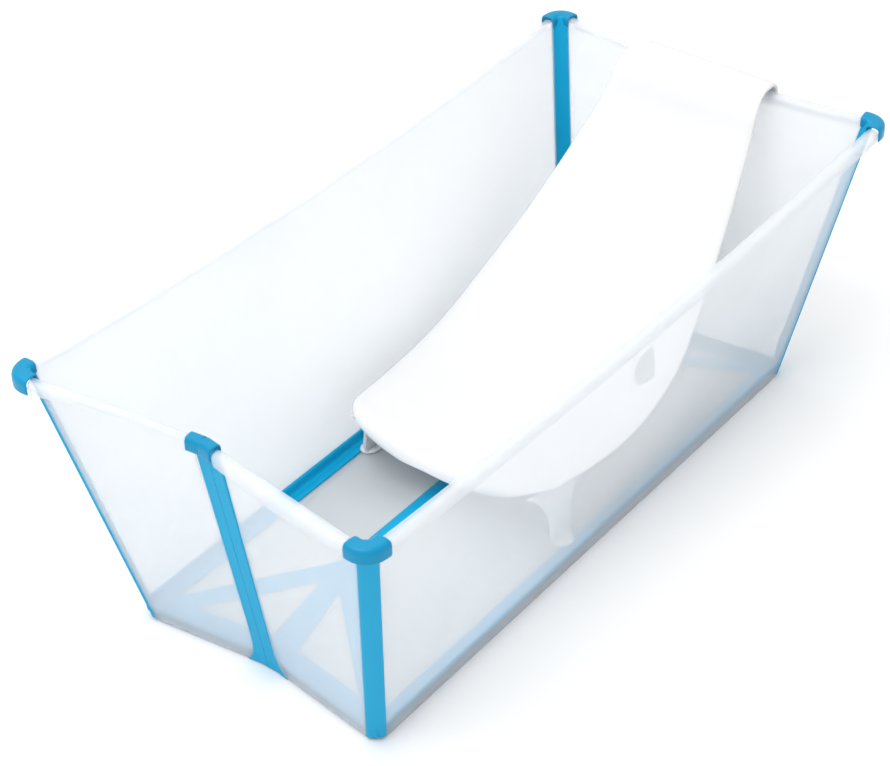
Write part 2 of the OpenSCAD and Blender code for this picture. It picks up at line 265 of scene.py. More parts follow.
def rounding(distance: Array, radius: float) -> Array:
    """Share of the full thickness at a distance from an edge that ends in a half circle."""
    inside = np.clip(distance / radius, 0.0, 1.0)
    return np.sqrt(np.clip(1 - (1 - inside) ** 2, 0.0, 1.0))


def run_lengths(grid: Array, axis: int) -> Array:
    """Distance of every grid point from the start of its own row or column.

    Args:
        grid: Points, rows by columns by 3.
        axis: 0 to run down the columns, 1 to run along the rows.

    Returns:
        Distances, rows by columns.
    """
    steps = np.linalg.norm(np.diff(grid, axis=axis), axis=-1)
    pad = [(1, 0) if i == axis else (0, 0) for i in range(2)]
    return np.cumsum(np.pad(steps, pad), axis=axis)


@dataclass(frozen=True)
class Edges:
    """Edge radius at the start and end of the two directions of a sheet."""

    row_start: float = 1.5 * MM
    row_end: float = 1.5 * MM
    col_start: float = 1.5 * MM
    col_end: float = 1.5 * MM

    @classmethod
    def even(cls, radius: float) -> "Edges":
        """The same radius at all four edges."""
        return cls(radius, radius, radius, radius)


def edge_share(grid: Array, edges: Edges) -> Array:
    """Share of the full thickness over a sheet: a quarter circle up from each of its four edges.

    Args:
        grid: Middle surface of the sheet.
        edges: Radii of its four edges.

    Returns:
        Shares from 0 to 1, rows by columns.
    """
    along, across = run_lengths(grid, 0), run_lengths(grid, 1)
    shares = [
        rounding(along, edges.row_start),
        rounding(along[-1:, :] - along, edges.row_end),
        rounding(across, edges.col_start),
        rounding(across[:, -1:] - across, edges.col_end),
    ]
    return np.minimum.reduce(shares)


def sheet_normals(grid: Array) -> Array:
    """Unit normals of a grid of points: the cross product of its two tangents."""
    return unit(np.cross(np.gradient(grid, axis=0), np.gradient(grid, axis=1)))


def grid_quads(rows: int, cols: int) -> Array:
    """Corner numbers of the cells of a grid whose points are counted row by row."""
    corner = (np.arange(rows - 1)[:, None] * cols + np.arange(cols - 1)[None, :]).ravel()
    return np.stack([corner, corner + cols, corner + cols + 1, corner + 1], axis=1)


def shell(grid: Array, thickness: float, edges: Edges = Edges()) -> tuple[Array, Array]:
    """Gives a middle surface its thickness.

    The front is the grid moved along its normals by half the thickness, and the back the same
    the other way. The thickness falls to nothing at the edges on a quarter circle, and there
    the back uses the front's own points, so the shell is closed.

    Args:
        grid: Middle surface, rows by columns by 3.
        thickness: Full thickness.
        edges: Radii of the four edges.

    Returns:
        Points and four-cornered faces.
    """
    rows, cols = grid.shape[:2]
    half = sheet_normals(grid) * (thickness / 2 * edge_share(grid, edges))[..., None]
    points = np.concatenate([(grid + half).reshape(-1, 3), (grid - half).reshape(-1, 3)])
    number = np.arange(rows * cols).reshape(rows, cols)
    back = number + rows * cols
    back[[0, -1], :] = number[[0, -1], :]
    back[:, [0, -1]] = number[:, [0, -1]]
    quads = grid_quads(rows, cols)
    return points, np.concatenate([quads[:, ::-1], back.ravel()[quads]])


def revolve(profile: Array, count: int = 64) -> tuple[Array, Array]:
    """Turns a closed profile of (radius, height) points round the z axis into a ring.

    Args:
        profile: Points of the closed profile.
        count: Steps round the axis.

    Returns:
        Points and four-cornered faces.
    """
    angle = np.linspace(0, 2 * math.pi, count, endpoint=False)[:, None]
    radius, height = profile[:, 0], profile[:, 1]
    ring = np.stack([radius * np.cos(angle), radius * np.sin(angle), height + 0 * angle], axis=-1)
    number = np.arange(count * len(profile)).reshape(count, len(profile))
    over, up = np.roll(number, -1, axis=0), np.roll(number, -1, axis=1)
    both = np.roll(over, -1, axis=1)
    faces = np.stack([number, over, both, up], axis=-1).reshape(-1, 4)
    return ring.reshape(-1, 3), faces


def outward(points: Array, faces: Array) -> Array:
    """Turns all faces of a closed mesh round if its signed volume is negative.

    Args:
        points: Points of the mesh.
        faces: Four corner numbers a face.

    Returns:
        The faces, in an order that points them outward.
    """
    a, b, c, d = (points[faces[:, i]] for i in range(4))
    volume = np.einsum("ij,ij->i", a, np.cross(b, c) + np.cross(c, d)).sum()
    return faces if volume > 0 else faces[:, ::-1]


def build(name: str, points: Array, faces: Array, sharp: float = 50.0) -> bpy.types.Object:
    """Makes one mesh object, at the origin, with smooth shading and sharp edges kept.

    Args:
        name: Name of the piece.
        points: Points in the frame, in metres.
        faces: Four corner numbers a face.
        sharp: Angle in degrees past which an edge is sharp.

    Returns:
        The new object, linked to the scene.
    """
    mesh = bpy.data.meshes.new(name)
    mesh.from_pydata(points.tolist(), [], outward(points, faces).tolist())
    mesh.validate()
    mesh.shade_smooth()
    mesh.set_sharp_from_angle(angle=math.radians(sharp))
    mesh.update()
    piece = bpy.data.objects.new(name, mesh)
    bpy.context.scene.collection.objects.link(piece)
    return piece


# ---------------------------------------------------------------- materials


class Value:
    """A number that changes over a surface. Arithmetic on it adds Math nodes."""

    def __init__(self, paint: "Paint", socket: bpy.types.NodeSocket) -> None:
        """Wraps one output socket of a node."""
        self.paint = paint
        self.socket = socket

    def _math(self, operation: str, first: Any, second: Any) -> "Value":
        """Adds one Math node on two numbers or values."""
        node = self.paint.node("ShaderNodeMath", {"operation": operation}, {0: first, 1: second})
        return Value(self.paint, node.outputs[0])

    def __add__(self, other: Any) -> "Value":
        """Value plus number or value."""
        return self._math("ADD", self, other)

    def __radd__(self, other: Any) -> "Value":
        """Number plus value."""
        return self._math("ADD", other, self)

    def __sub__(self, other: Any) -> "Value":
        """Value minus number or value."""
        return self._math("SUBTRACT", self, other)

    def __rsub__(self, other: Any) -> "Value":
        """Number minus value."""
        return self._math("SUBTRACT", other, self)

    def __mul__(self, other: Any) -> "Value":
        """Value times number or value."""
        return self._math("MULTIPLY", self, other)

    def __rmul__(self, other: Any) -> "Value":
        """Number times value."""
        return self._math("MULTIPLY", other, self)


class Paint:
    """Builds the nodes of one material."""

    def __init__(self, name: str) -> None:
        """Starts a material with a Principled shader on its surface.

        Args:
            name: Name of the material.
        """
        self.material = bpy.data.materials.new(name)
        self.material.use_nodes = True
        self.tree = self.material.node_tree
        self.tree.nodes.clear()
        self.shader = self.node("ShaderNodeBsdfPrincipled")
        self.node("ShaderNodeOutputMaterial", {}, {"Surface": self.shader.outputs[0]})
        self.place = self.node("ShaderNodeTexCoord").outputs["Object"]

    def node(self, kind: str, settings: dict[str, Any] | None = None,
             inputs: dict[Any, Any] | None = None) -> bpy.types.Node:
        """Adds a node.

        Args:
            kind: The node's type.
            settings: The node's own properties, set first.
            inputs: A number, colour, socket or Value for each named or numbered input.

        Returns:
            The node.
        """
        made = self.tree.nodes.new(kind)
        for key, setting in (settings or {}).items():
            setattr(made, key, setting)
        for key, wanted in (inputs or {}).items():
            socket = wanted.socket if isinstance(wanted, Value) else wanted
            if isinstance(socket, bpy.types.NodeSocket):
                self.tree.links.new(socket, made.inputs[key])
            else:
                made.inputs[key].default_value = socket
        return made

    def noise(self, scale: float) -> Value:
        """Cloudy noise from 0 to 1 on the piece's own coordinates."""
        inputs = {"Vector": self.place, "Scale": scale, "Detail": 2.0, "Roughness": 0.5}
        return Value(self, self.node("ShaderNodeTexNoise", {}, inputs).outputs["Fac"])

    def blend_colours(self, factor: Any, first: Sequence[float], second: Sequence[float]) -> Value:
        """Mixes two colours by a value."""
        colours = {0: factor, 6: (*first, 1.0), 7: (*second, 1.0)}
        return Value(self, self.node("ShaderNodeMix", {"data_type": "RGBA"}, colours).outputs[2])

    def bump(self, height: Value, strength: float) -> Value:
        """A normal bent by a height, which is at most a fifth of a millimetre."""
        inputs = {"Strength": strength, "Distance": 0.2 * MM, "Height": height}
        return Value(self, self.node("ShaderNodeBump", {}, inputs).outputs["Normal"])

    def set(self, **inputs: Any) -> None:
        """Sets inputs of the Principled shader; an underscore in a name stands for a space.

        Args:
            **inputs: A number, colour or Value for each named input.
        """
        for key, wanted in inputs.items():
            socket = self.shader.inputs[key.replace("_", " ")]
            if isinstance(wanted, Value):
                self.tree.links.new(wanted.socket, socket)
            else:
                socket.default_value = wanted


@dataclass(frozen=True)
class MilkyPlastic:
    """Translucent moulded plastic of the panels: cloudy, satin, and a little see-through."""

    name: str = "milky_plastic"
    pale: tuple[float, float, float] = (0.81, 0.845, 0.88)
    cool: tuple[float, float, float] = (0.75, 0.805, 0.855)
    clear: float = 0.56
    clear_spread: float = 0.08
    rough: float = 0.30
    rough_spread: float = 0.14
    cloud_scale: float = 7.0
    grain_scale: float = 900.0

    def make(self) -> bpy.types.Material:
        """Builds the material.

        Returns:
            The material, with its nodes.
        """
        paint = Paint(self.name)
        cloud = paint.noise(self.cloud_scale)
        grain = paint.noise(self.grain_scale)
        paint.set(
            Base_Color=paint.blend_colours(cloud, self.pale, self.cool),
            Roughness=self.rough + self.rough_spread * cloud,
            Alpha=(1.0 - self.clear - self.clear_spread / 2) + self.clear_spread * cloud,
            Normal=paint.bump(grain, 0.10),
            Subsurface_Weight=0.85,
            Subsurface_Radius=(1.0, 1.0, 1.0),
            Subsurface_Scale=0.02,
            IOR=1.49,
            Specular_IOR_Level=0.4,
        )
        return paint.material


@dataclass(frozen=True)
class SoftHinge:
    """Soft rubbery plastic of the strips and caps: even blue with a satin skin."""

    name: str = "soft_hinge"
    deep: tuple[float, float, float] = (0.001, 0.31, 0.55)
    light: tuple[float, float, float] = (0.002, 0.37, 0.64)
    rough: float = 0.42
    shine: float = 0.18
    rough_spread: float = 0.12
    cloud_scale: float = 14.0
    grain_scale: float = 1400.0

    def make(self) -> bpy.types.Material:
        """Builds the material.

        Returns:
            The material, with its nodes.
        """
        paint = Paint(self.name)
        cloud = paint.noise(self.cloud_scale)
        grain = paint.noise(self.grain_scale)
        paint.set(
            Base_Color=paint.blend_colours(cloud, self.deep, self.light),
            Roughness=self.rough + self.rough_spread * cloud,
            Normal=paint.bump(grain, 0.12),
            IOR=1.5,
            Specular_IOR_Level=self.shine,
        )
        return paint.material


@dataclass(frozen=True)
class SeatPlastic:
    """White plastic of the newborn support, with a fine moulded grain."""

    name: str = "seat_plastic"
    white: tuple[float, float, float] = (0.765, 0.765, 0.77)
    shade: tuple[float, float, float] = (0.735, 0.74, 0.745)
    rough: float = 0.34
    rough_spread: float = 0.10
    cloud_scale: float = 10.0
    grain_scale: float = 1100.0

    def make(self) -> bpy.types.Material:
        """Builds the material.

        Returns:
            The material, with its nodes.
        """
        paint = Paint(self.name)
        cloud = paint.noise(self.cloud_scale)
        grain = paint.noise(self.grain_scale)
        paint.set(
            Base_Color=paint.blend_colours(cloud, self.white, self.shade),
            Roughness=self.rough + self.rough_spread * cloud,
            Normal=paint.bump(grain, 0.08),
            IOR=1.49,
            Specular_IOR_Level=0.4,
            Subsurface_Weight=0.2,
            Subsurface_Radius=(1.0, 1.0, 1.0),
            Subsurface_Scale=0.004,
        )
        return paint.material


@dataclass(frozen=True)
class StudioFloor:
    """Plain pale floor."""

    name: str = "studio_floor"
    colour: tuple[float, float, float] = (0.92, 0.92, 0.92)
    rough: float = 0.75
    rough_spread: float = 0.05
    cloud_scale: float = 2.0

    def make(self) -> bpy.types.Material:
        """Builds the material.

        Returns:
            The material, with its nodes.
        """
        paint = Paint(self.name)
        cloud = paint.noise(self.cloud_scale)
        paint.set(
            Base_Color=(*self.colour, 1.0),
            Roughness=self.rough + self.rough_spread * cloud,
            Specular_IOR_Level=0.2,
        )
        return paint.material


BASE_PLASTIC = MilkyPlastic("base_plastic", (0.86, 0.92, 0.97), (0.81, 0.89, 0.95), clear=0.24)
CAP_PLASTIC = SoftHinge("cap_plastic", (0.001, 0.22, 0.41), (0.001, 0.27, 0.49), rough=0.26,
                        shine=0.22)
# Grey finish of the half-moon by the grip: painted shade of a recess's inner face.
GRIP_SHADE_PLASTIC = SeatPlastic("well_plastic", (0.42, 0.43, 0.44), (0.38, 0.39, 0.40))


@dataclass
class Finishes:
    """The materials, each made once."""

    panel: bpy.types.Material = field(default_factory=MilkyPlastic().make)
    base: bpy.types.Material = field(default_factory=BASE_PLASTIC.make)
    hinge: bpy.types.Material = field(default_factory=SoftHinge().make)
    cap: bpy.types.Material = field(default_factory=CAP_PLASTIC.make)
    seat: bpy.types.Material = field(default_factory=SeatPlastic().make)
    # painted shade: the grey of the half-moon by the grip
    well: bpy.types.Material = field(default_factory=GRIP_SHADE_PLASTIC.make)
    floor: bpy.types.Material = field(default_factory=StudioFloor().make)


class Finish(Enum):
    """Finish of a piece: field of Finishes, and the record's material slot."""

    PANEL = ("panel", "panel_plastic")
    BASE = ("base", "panel_plastic")
    HINGE = ("hinge", "strip_blue")
    CAP = ("cap", "strip_blue")
    PLUG = ("cap", "plug_blue")
    SEAT = ("seat", "support_white")
    # grey painted shade of the half-moon by the grip
    WELL = ("well", "support_white")


@dataclass
class Workshop:
    """Dresses finished meshes and ties them to the frame."""

    finishes: Finishes
    made: int = 0

    def dress(self, piece: bpy.types.Object, finish: Finish, nodes: Sequence[str]) -> None:
        """Gives a piece its material, and hides the nodes that it stands for.

        Args:
            piece: The new piece.
            finish: Its finish.
            nodes: Nodes of the part that it replaces.
        """
        material, slot = finish.value
        piece.data.materials.append(getattr(self.finishes, material))
        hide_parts(*nodes)
        self.made += 1
        log.info("%s: %d faces for %s", piece.name, len(piece.data.polygons), ", ".join(nodes))

    def ride(self, piece: bpy.types.Object, finish: Finish, nodes: Sequence[str],
             body: str) -> None:
        """Dresses a piece that moves with one body."""
        self.dress(piece, finish, nodes)
        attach(piece, body)

    def bend(self, piece: bpy.types.Object, finish: Finish, nodes: Sequence[str],
             bodies: tuple[str, str], start: Array, end: Array) -> None:
        """Dresses a piece and bakes its place into its points; it follows no body and does not
        bend.

        Args:
            piece: The new piece.
            finish: Its finish.
            nodes: Nodes of the part that it replaces.
            bodies: The bodies that it joins; not used.
            start: Where it would stop following the first body; not used.
            end: Where it would start following the second body; not used.
        """
        self.dress(piece, finish, nodes)
        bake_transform(piece)


# ---------------------------------------------------------------- panels


@dataclass(frozen=True)
class Rim:
    """Rolled rim along the top of a panel: out, and down again."""

    width: float = 10.2 * MM
    skirt: float = 12.0 * MM
    corner: float = 3.6 * MM
    width_share: float = 0.45  # most of the width that a corner's radius takes
    skirt_share: float = 0.8  # most of the skirt that it takes
    wall_length: float = 0.29
    wall_steps: int = 22
    skirt_steps: int = 3

    def path(self, height: Array, width: Array, skirt: Array) -> tuple[Array, Array]:
        """Centre line of a panel and its rim in its own cross-section.

        It goes straight up from the foot, round a quarter circle outward, straight out, round a
        second quarter circle and straight down.

        Args:
            height: Height of the panel at each station.
            width: How far the rim reaches out at each station.
            skirt: How far the rim comes down again at each station.

        Returns:
            Distance outward and distance up, stations by points.
        """
        h, w, k = (np.asarray(a, float)[:, None] for a in (height, width, skirt))
        r = np.minimum(self.corner, self.width_share * w)
        r_down = np.minimum(r, self.skirt_share * k)
        soft = PLAN.panel_t / 2
        rise = open_ended(self.wall_steps, self.wall_length, soft)
        turn = np.linspace(0, math.pi / 2, 7)[1:-1]
        flat = np.linspace(0, 1, 4)
        drop = spaced(self.skirt_steps, float(np.max(skirt)), soft)[len(EDGE_STEPS):]
        parts = [
            (0.0, (h - r) * rise),
            (r - r * np.cos(turn), h - r + r * np.sin(turn)),
            (r + (w - 2 * r) * flat, h),
            (w - r + r * np.sin(turn), h - r_down + r_down * np.cos(turn)),
            (w, h - r_down - (k - r_down) * drop),
        ]
        out, up = zip(*(np.broadcast_arrays(*part) for part in parts))
        return np.concatenate(out, axis=1), np.concatenate(up, axis=1)


@dataclass
class SidePanels:
    """The two long walls, each with a rim that dips between the corners."""

    shop: Workshop
    rim: Rim = field(default_factory=Rim)
    stations: int = 56
    cap_lap: float = 7.0 * MM

    def dip(self, x: Array) -> Array:
        """How far the rim lies below its corners: a circle through both ends.

        Args:
            x: Places along the bath.

        Returns:
            Depths, 0 at both ends and the full dip in the middle.
        """
        half = PLAN.rim_length / 2
        radius = (half**2 + PLAN.rim_dip**2) / (2 * PLAN.rim_dip)
        return PLAN.rim_dip - (radius - np.sqrt(radius**2 - np.clip(x, -half, half) ** 2))

    def surface(self) -> Array:
        """Middle surface of the left wall.

        Stations run along the bath between the two corner strips. At each, the cross-section
        is the rim's path on the wall's slope, scaled down by the dip. The rim stops short of
        the corner caps, and the wall under it reaches the strips.

        Returns:
            Grid of points.
        """
        foot, top = PLAN.base_corner, PLAN.rim_corner
        slope = unit(np.array([0.0, top[1] - foot[1], top[2]]))
        height = (top - foot) @ slope
        share = spaced(self.stations, PLAN.rim_length, PLAN.panel_t / 2)
        even = np.ones_like(share)
        out, up = self.rim.path(even * (height - PLAN.panel_t / 2), even * self.rim.width,
                                even * self.rim.skirt)
        lean = (foot[0] - top[0]) / height
        wall_end = foot[0] - lean * up + PLAN.corner_half
        rim_end = top[0] + PLAN.cap_len - self.cap_lap
        over = smooth(np.clip(out / self.rim.width, 0, 1))
        x = (wall_end * (1 - over) + rim_end * over) * (1 - 2 * share[:, None])
        up = up - self.dip(x) * np.clip(up / height, 0, 1) ** 2
        grid = up[..., None] * slope + out[..., None] * PLAN.side_normal + foot * [0.0, 1.0, 0.0]
        grid[..., 0] = x
        return grid

    def make(self) -> None:
        """Builds both walls."""
        points, faces = shell(self.surface(), PLAN.panel_t)
        for side in Side:
            node = f"side_panel_{side.word}"
            piece = build(f"wall_{side.word}", mirror(points, side=side), faces)
            self.shop.ride(piece, Finish.PANEL, [node], f"side_{side.word}")


@dataclass
class EndPanels:
    """The four half walls of the ends. The right halves carry the wider rim."""

    shop: Workshop
    rim: Rim = field(default_factory=Rim)
    stations: int = 26
    half_length: float = 0.17
    cap_lap: float = 6.0 * MM
    foot: float = 2.2 * MM
    seam_width: dict[Side, float] = field(
        default_factory=lambda: {Side.LEFT: 3.2 * MM, Side.RIGHT: 8.6 * MM})
    seam_skirt: dict[Side, float] = field(
        default_factory=lambda: {Side.LEFT: 4.0 * MM, Side.RIGHT: 12.5 * MM})
    swell: dict[Side, float] = field(
        default_factory=lambda: {Side.LEFT: -2.2 * MM, Side.RIGHT: 2.0 * MM})

    def corners(self) -> Array:
        """Corners of the near left half wall, inside its strips: foot, foot at seam, top, top."""
        top_seam = PLAN.rim_seam + unit(PLAN.base_corner - PLAN.base_seam) * PLAN.seam_taper
        outline = np.array([PLAN.base_corner, PLAN.base_seam, top_seam, PLAN.rim_corner])
        return inset_outline(outline, [self.foot, PLAN.seam_half, 0.0, PLAN.corner_half])

    def surface(self, side: Side) -> Array:
        """Middle surface of the near half wall of a side, drawn on the left.

        Stations run from the corner strip to the seam strip. The rim's width and skirt run
        from the corner's to the seam's in a straight line, plus a swell in the middle.

        Args:
            side: The side whose rim is wanted.

        Returns:
            Grid of points.
        """
        a, b, c, d = self.corners()
        share = spaced(self.stations, self.half_length, PLAN.panel_t / 2)
        foot = a + (b - a) * share[:, None]
        top = d + (c - d) * share[:, None]
        rise = top - foot
        height = np.linalg.norm(rise, axis=1)
        bulge = self.swell[side] * np.sin(math.pi * share)
        width = self.rim.width + (self.seam_width[side] - self.rim.width) * share + bulge
        skirt = self.rim.skirt + (self.seam_skirt[side] - self.rim.skirt) * share + bulge
        out, up = self.rim.path(height - PLAN.panel_t / 2, width, skirt)
        along = unit(b - a)
        over = np.clip(out / self.rim.width, 0, 1)
        short = (PLAN.cap_len - PLAN.corner_half - self.cap_lap) * (1 - 2 * share[:, None]) * over
        wall = foot[:, None, :] + up[..., None] * unit(rise)[:, None, :]
        return wall + out[..., None] * PLAN.end_normal + short[..., None] * along

    def make(self) -> None:
        """Builds the four half walls."""
        for side in Side:
            points, faces = shell(self.surface(side), PLAN.panel_t)
            for end in End:
                node = f"{end.word}_end_panel_{side.word}"
                piece = build(f"{end.word}_end_wall_{side.word}", mirror(points, end, side), faces)
                self.shop.ride(piece, Finish.PANEL, [node], f"{end.word}_end_{side.word}")


@dataclass
class Floor:
    """Two sloping halves that meet in a ridge, and a triangle at each end of each."""

    shop: Workshop
    drain_hole: float = 17.4 * MM
    cut_depth: float = 20.0 * MM
    blunt: float = 0.04
    along: int = 20
    across: int = 12

    def slab(self, near_a: Array, near_b: Array, far_a: Array,
             far_b: Array) -> tuple[Array, Array]:
        """Flat plate between two opposite edges, each point a straight mix of the four corners.

        Args:
            near_a: Start of the first edge.
            near_b: End of the first edge.
            far_a: Start of the second edge.
            far_b: End of the second edge.

        Returns:
            Points and faces.
        """
        soft = PLAN.panel_t / 2
        u = spaced(self.along, float(np.linalg.norm(near_b - near_a)), soft)[None, :, None]
        v = spaced(self.across, float(np.linalg.norm(far_a - near_a)), soft)[:, None, None]
        grid = (near_a * (1 - u) + near_b * u) * (1 - v) + (far_a * (1 - u) + far_b * u) * v
        return shell(grid, PLAN.panel_t)

    def half(self) -> tuple[Array, Array]:
        """Left half of the floor, inside its strips.

        Returns:
            Points and faces.
        """
        near = np.array([PLAN.floor_corner, PLAN.apex])
        outline = np.concatenate([near, mirror(near[::-1], End.FAR)])
        a, b, c, d = inset_outline(outline, [PLAN.floor_half] * 3 + [PLAN.floor_side_half])
        return self.slab(a, d, b, c)

    def triangle(self) -> tuple[Array, Array]:
        """Near left floor triangle, with a blunt tip towards the apex.

        Returns:
            Points and faces.
        """
        foot = PLAN.floor_seam + unit(PLAN.floor_corner - PLAN.floor_seam) * PLAN.apex_taper
        outline = np.array([PLAN.floor_corner, foot, PLAN.apex])
        a, b, tip = inset_outline(outline, [PLAN.triangle_edge, PLAN.floor_half, PLAN.floor_half])
        return self.slab(a, b, tip + (a - tip) * self.blunt, tip + (b - tip) * self.blunt)

    def pierce(self, piece: bpy.types.Object) -> None:
        """Cuts the drain hole through a floor half.

        Args:
            piece: The left floor half.
        """
        deep = self.cut_depth
        profile = [[AXIS, -deep], [self.drain_hole, -deep], [self.drain_hole, deep], [AXIS, deep]]
        points, faces = revolve(np.array(profile))
        cutter = build("drain_cutter", drain_frame(points), faces)
        cut = piece.modifiers.new("drain", "BOOLEAN")
        cut.object, cut.operation, cut.solver = cutter, "DIFFERENCE", "EXACT"
        graph = bpy.context.evaluated_depsgraph_get()
        mesh = bpy.data.meshes.new_from_object(piece.evaluated_get(graph))
        piece.modifiers.clear()
        piece.data = mesh
        bpy.data.objects.remove(cutter)

    def make(self) -> None:
        """Builds both halves and the four triangles."""
        points, faces = self.half()
        for side in Side:
            piece = build(f"floor_half_{side.word}", mirror(points, side=side), faces)
            if side is Side.LEFT:
                self.pierce(piece)
            node = f"floor_panel_{side.word}"
            self.shop.ride(piece, Finish.BASE, [node], f"floor_{side.word}")
        points, faces = self.triangle()
        for end in End:
            for side in Side:
                node = f"{end.word}_floor_triangle_{side.word}"
                name = f"{end.word}_floor_wing_{side.word}"
                piece = build(name, mirror(points, end, side), faces)
                self.shop.ride(piece, Finish.BASE, [node], f"{end.word}_triangle_{side.word}")


def floor_turn() -> Array:
    """Rows that carry x, y and z to the slope of the left floor half."""
    tilt = math.atan2(PLAN.ridge_rise, PLAN.floor_corner[1])
    c, s = math.cos(tilt), math.sin(tilt)
    return np.array([[1.0, 0.0, 0.0], [0.0, c, -s], [0.0, s, c]])


def drain_frame(points: Array) -> Array:
    """Carries points about the z axis to the drain, square to the left floor half.

    Args:
        points: Points about the z axis, with z up from the floor's middle.

    Returns:
        The points in place.
    """
    low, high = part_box("drain_ring")
    x, y = ((low + high) / 2)[:2]
    return points @ floor_turn() + np.array([x, y, PLAN.floor_height(float(y))])


# ---------------------------------------------------------------- strips


class Part(Enum):
    """How much of a strip one mesh holds."""

    WHOLE = "whole"
    WING_A = "a"
    WING_B = "b"


@dataclass(frozen=True)
class Band:
    """A soft strip folded along a seam: two wings and a rounded fold between them.

    Widths are at the start and the end of the seam. A flare widens the foot of both wings and
    dies away up the seam.
    """

    start: Array
    end: Array
    wing_a: Array
    wing_b: Array
    width_a: tuple[float, float]
    width_b: tuple[float, float]
    fold: float = 7.0 * MM
    thickness: float = 3.5 * MM
    flare: float = 0.0
    flare_length: float = 12.0 * MM
    straight: float = 0.0
    rows: int = 36
    square: float = 0.05 * MM
    wing_length: float = 12.0 * MM

    def surface(self, part: Part = Part.WHOLE) -> Array:
        """Middle surface: along the seam by across it.

        Across the strip the line runs in from one wing's edge to the fold, round the fold and
        out to the other edge. The fold is a mix of a straight chord and a quadratic curve whose
        middle control point is the seam.

        Args:
            part: The whole strip, or one wing up to the middle of the fold.

        Returns:
            Grid of points.
        """
        length = float(np.linalg.norm(self.end - self.start))
        v = spaced(self.rows, length, self.thickness / 2)[:, None]
        seam = self.start + (self.end - self.start) * v
        grow = self.flare * np.exp(-v * length / self.flare_length)
        reach_a = (self.width_a[0] + (self.width_a[1] - self.width_a[0]) * v + grow)[:, :, None]
        reach_b = (self.width_b[0] + (self.width_b[1] - self.width_b[0]) * v + grow)[:, :, None]
        side = open_ended(3, self.wing_length, self.thickness / 2)[None, :, None]
        to_middle = np.linspace(0, 0.49, 5)
        tau = np.concatenate([to_middle, [0.5], (1 - to_middle)[::-1]])[None, :, None]
        wing_a, wing_b = unit(self.wing_a), unit(self.wing_b)
        a = wing_a * (reach_a + (self.fold - reach_a) * side)
        b = wing_b * (reach_b + (self.fold - reach_b) * side[:, ::-1])
        curve, chord = 1 - self.straight, self.straight
        turn = (wing_a * self.fold * (curve * (1 - tau) ** 2 + chord * (1 - tau))
                + wing_b * self.fold * (curve * tau**2 + chord * tau))
        middle = len(to_middle)
        lines = {Part.WHOLE: [a, turn, b],
                 Part.WING_A: [a, turn[:, :middle + 1]],
                 Part.WING_B: [turn[:, middle:], b]}[part]
        lines = [np.broadcast_to(line, (len(v), line.shape[1], 3)) for line in lines]
        return seam[:, None, :] + np.concatenate(lines, axis=1)

    def solid(self, part: Part = Part.WHOLE) -> tuple[Array, Array]:
        """Points and faces of the strip, or of one wing with a square edge at the seam.

        Args:
            part: The whole strip, or one wing up to the middle of the fold.

        Returns:
            Points and faces.
        """
        soft = self.thickness / 2
        edges = Edges(soft, soft, self.square if part is Part.WING_B else soft,
                      self.square if part is Part.WING_A else soft)
        return shell(self.surface(part), self.thickness, edges)


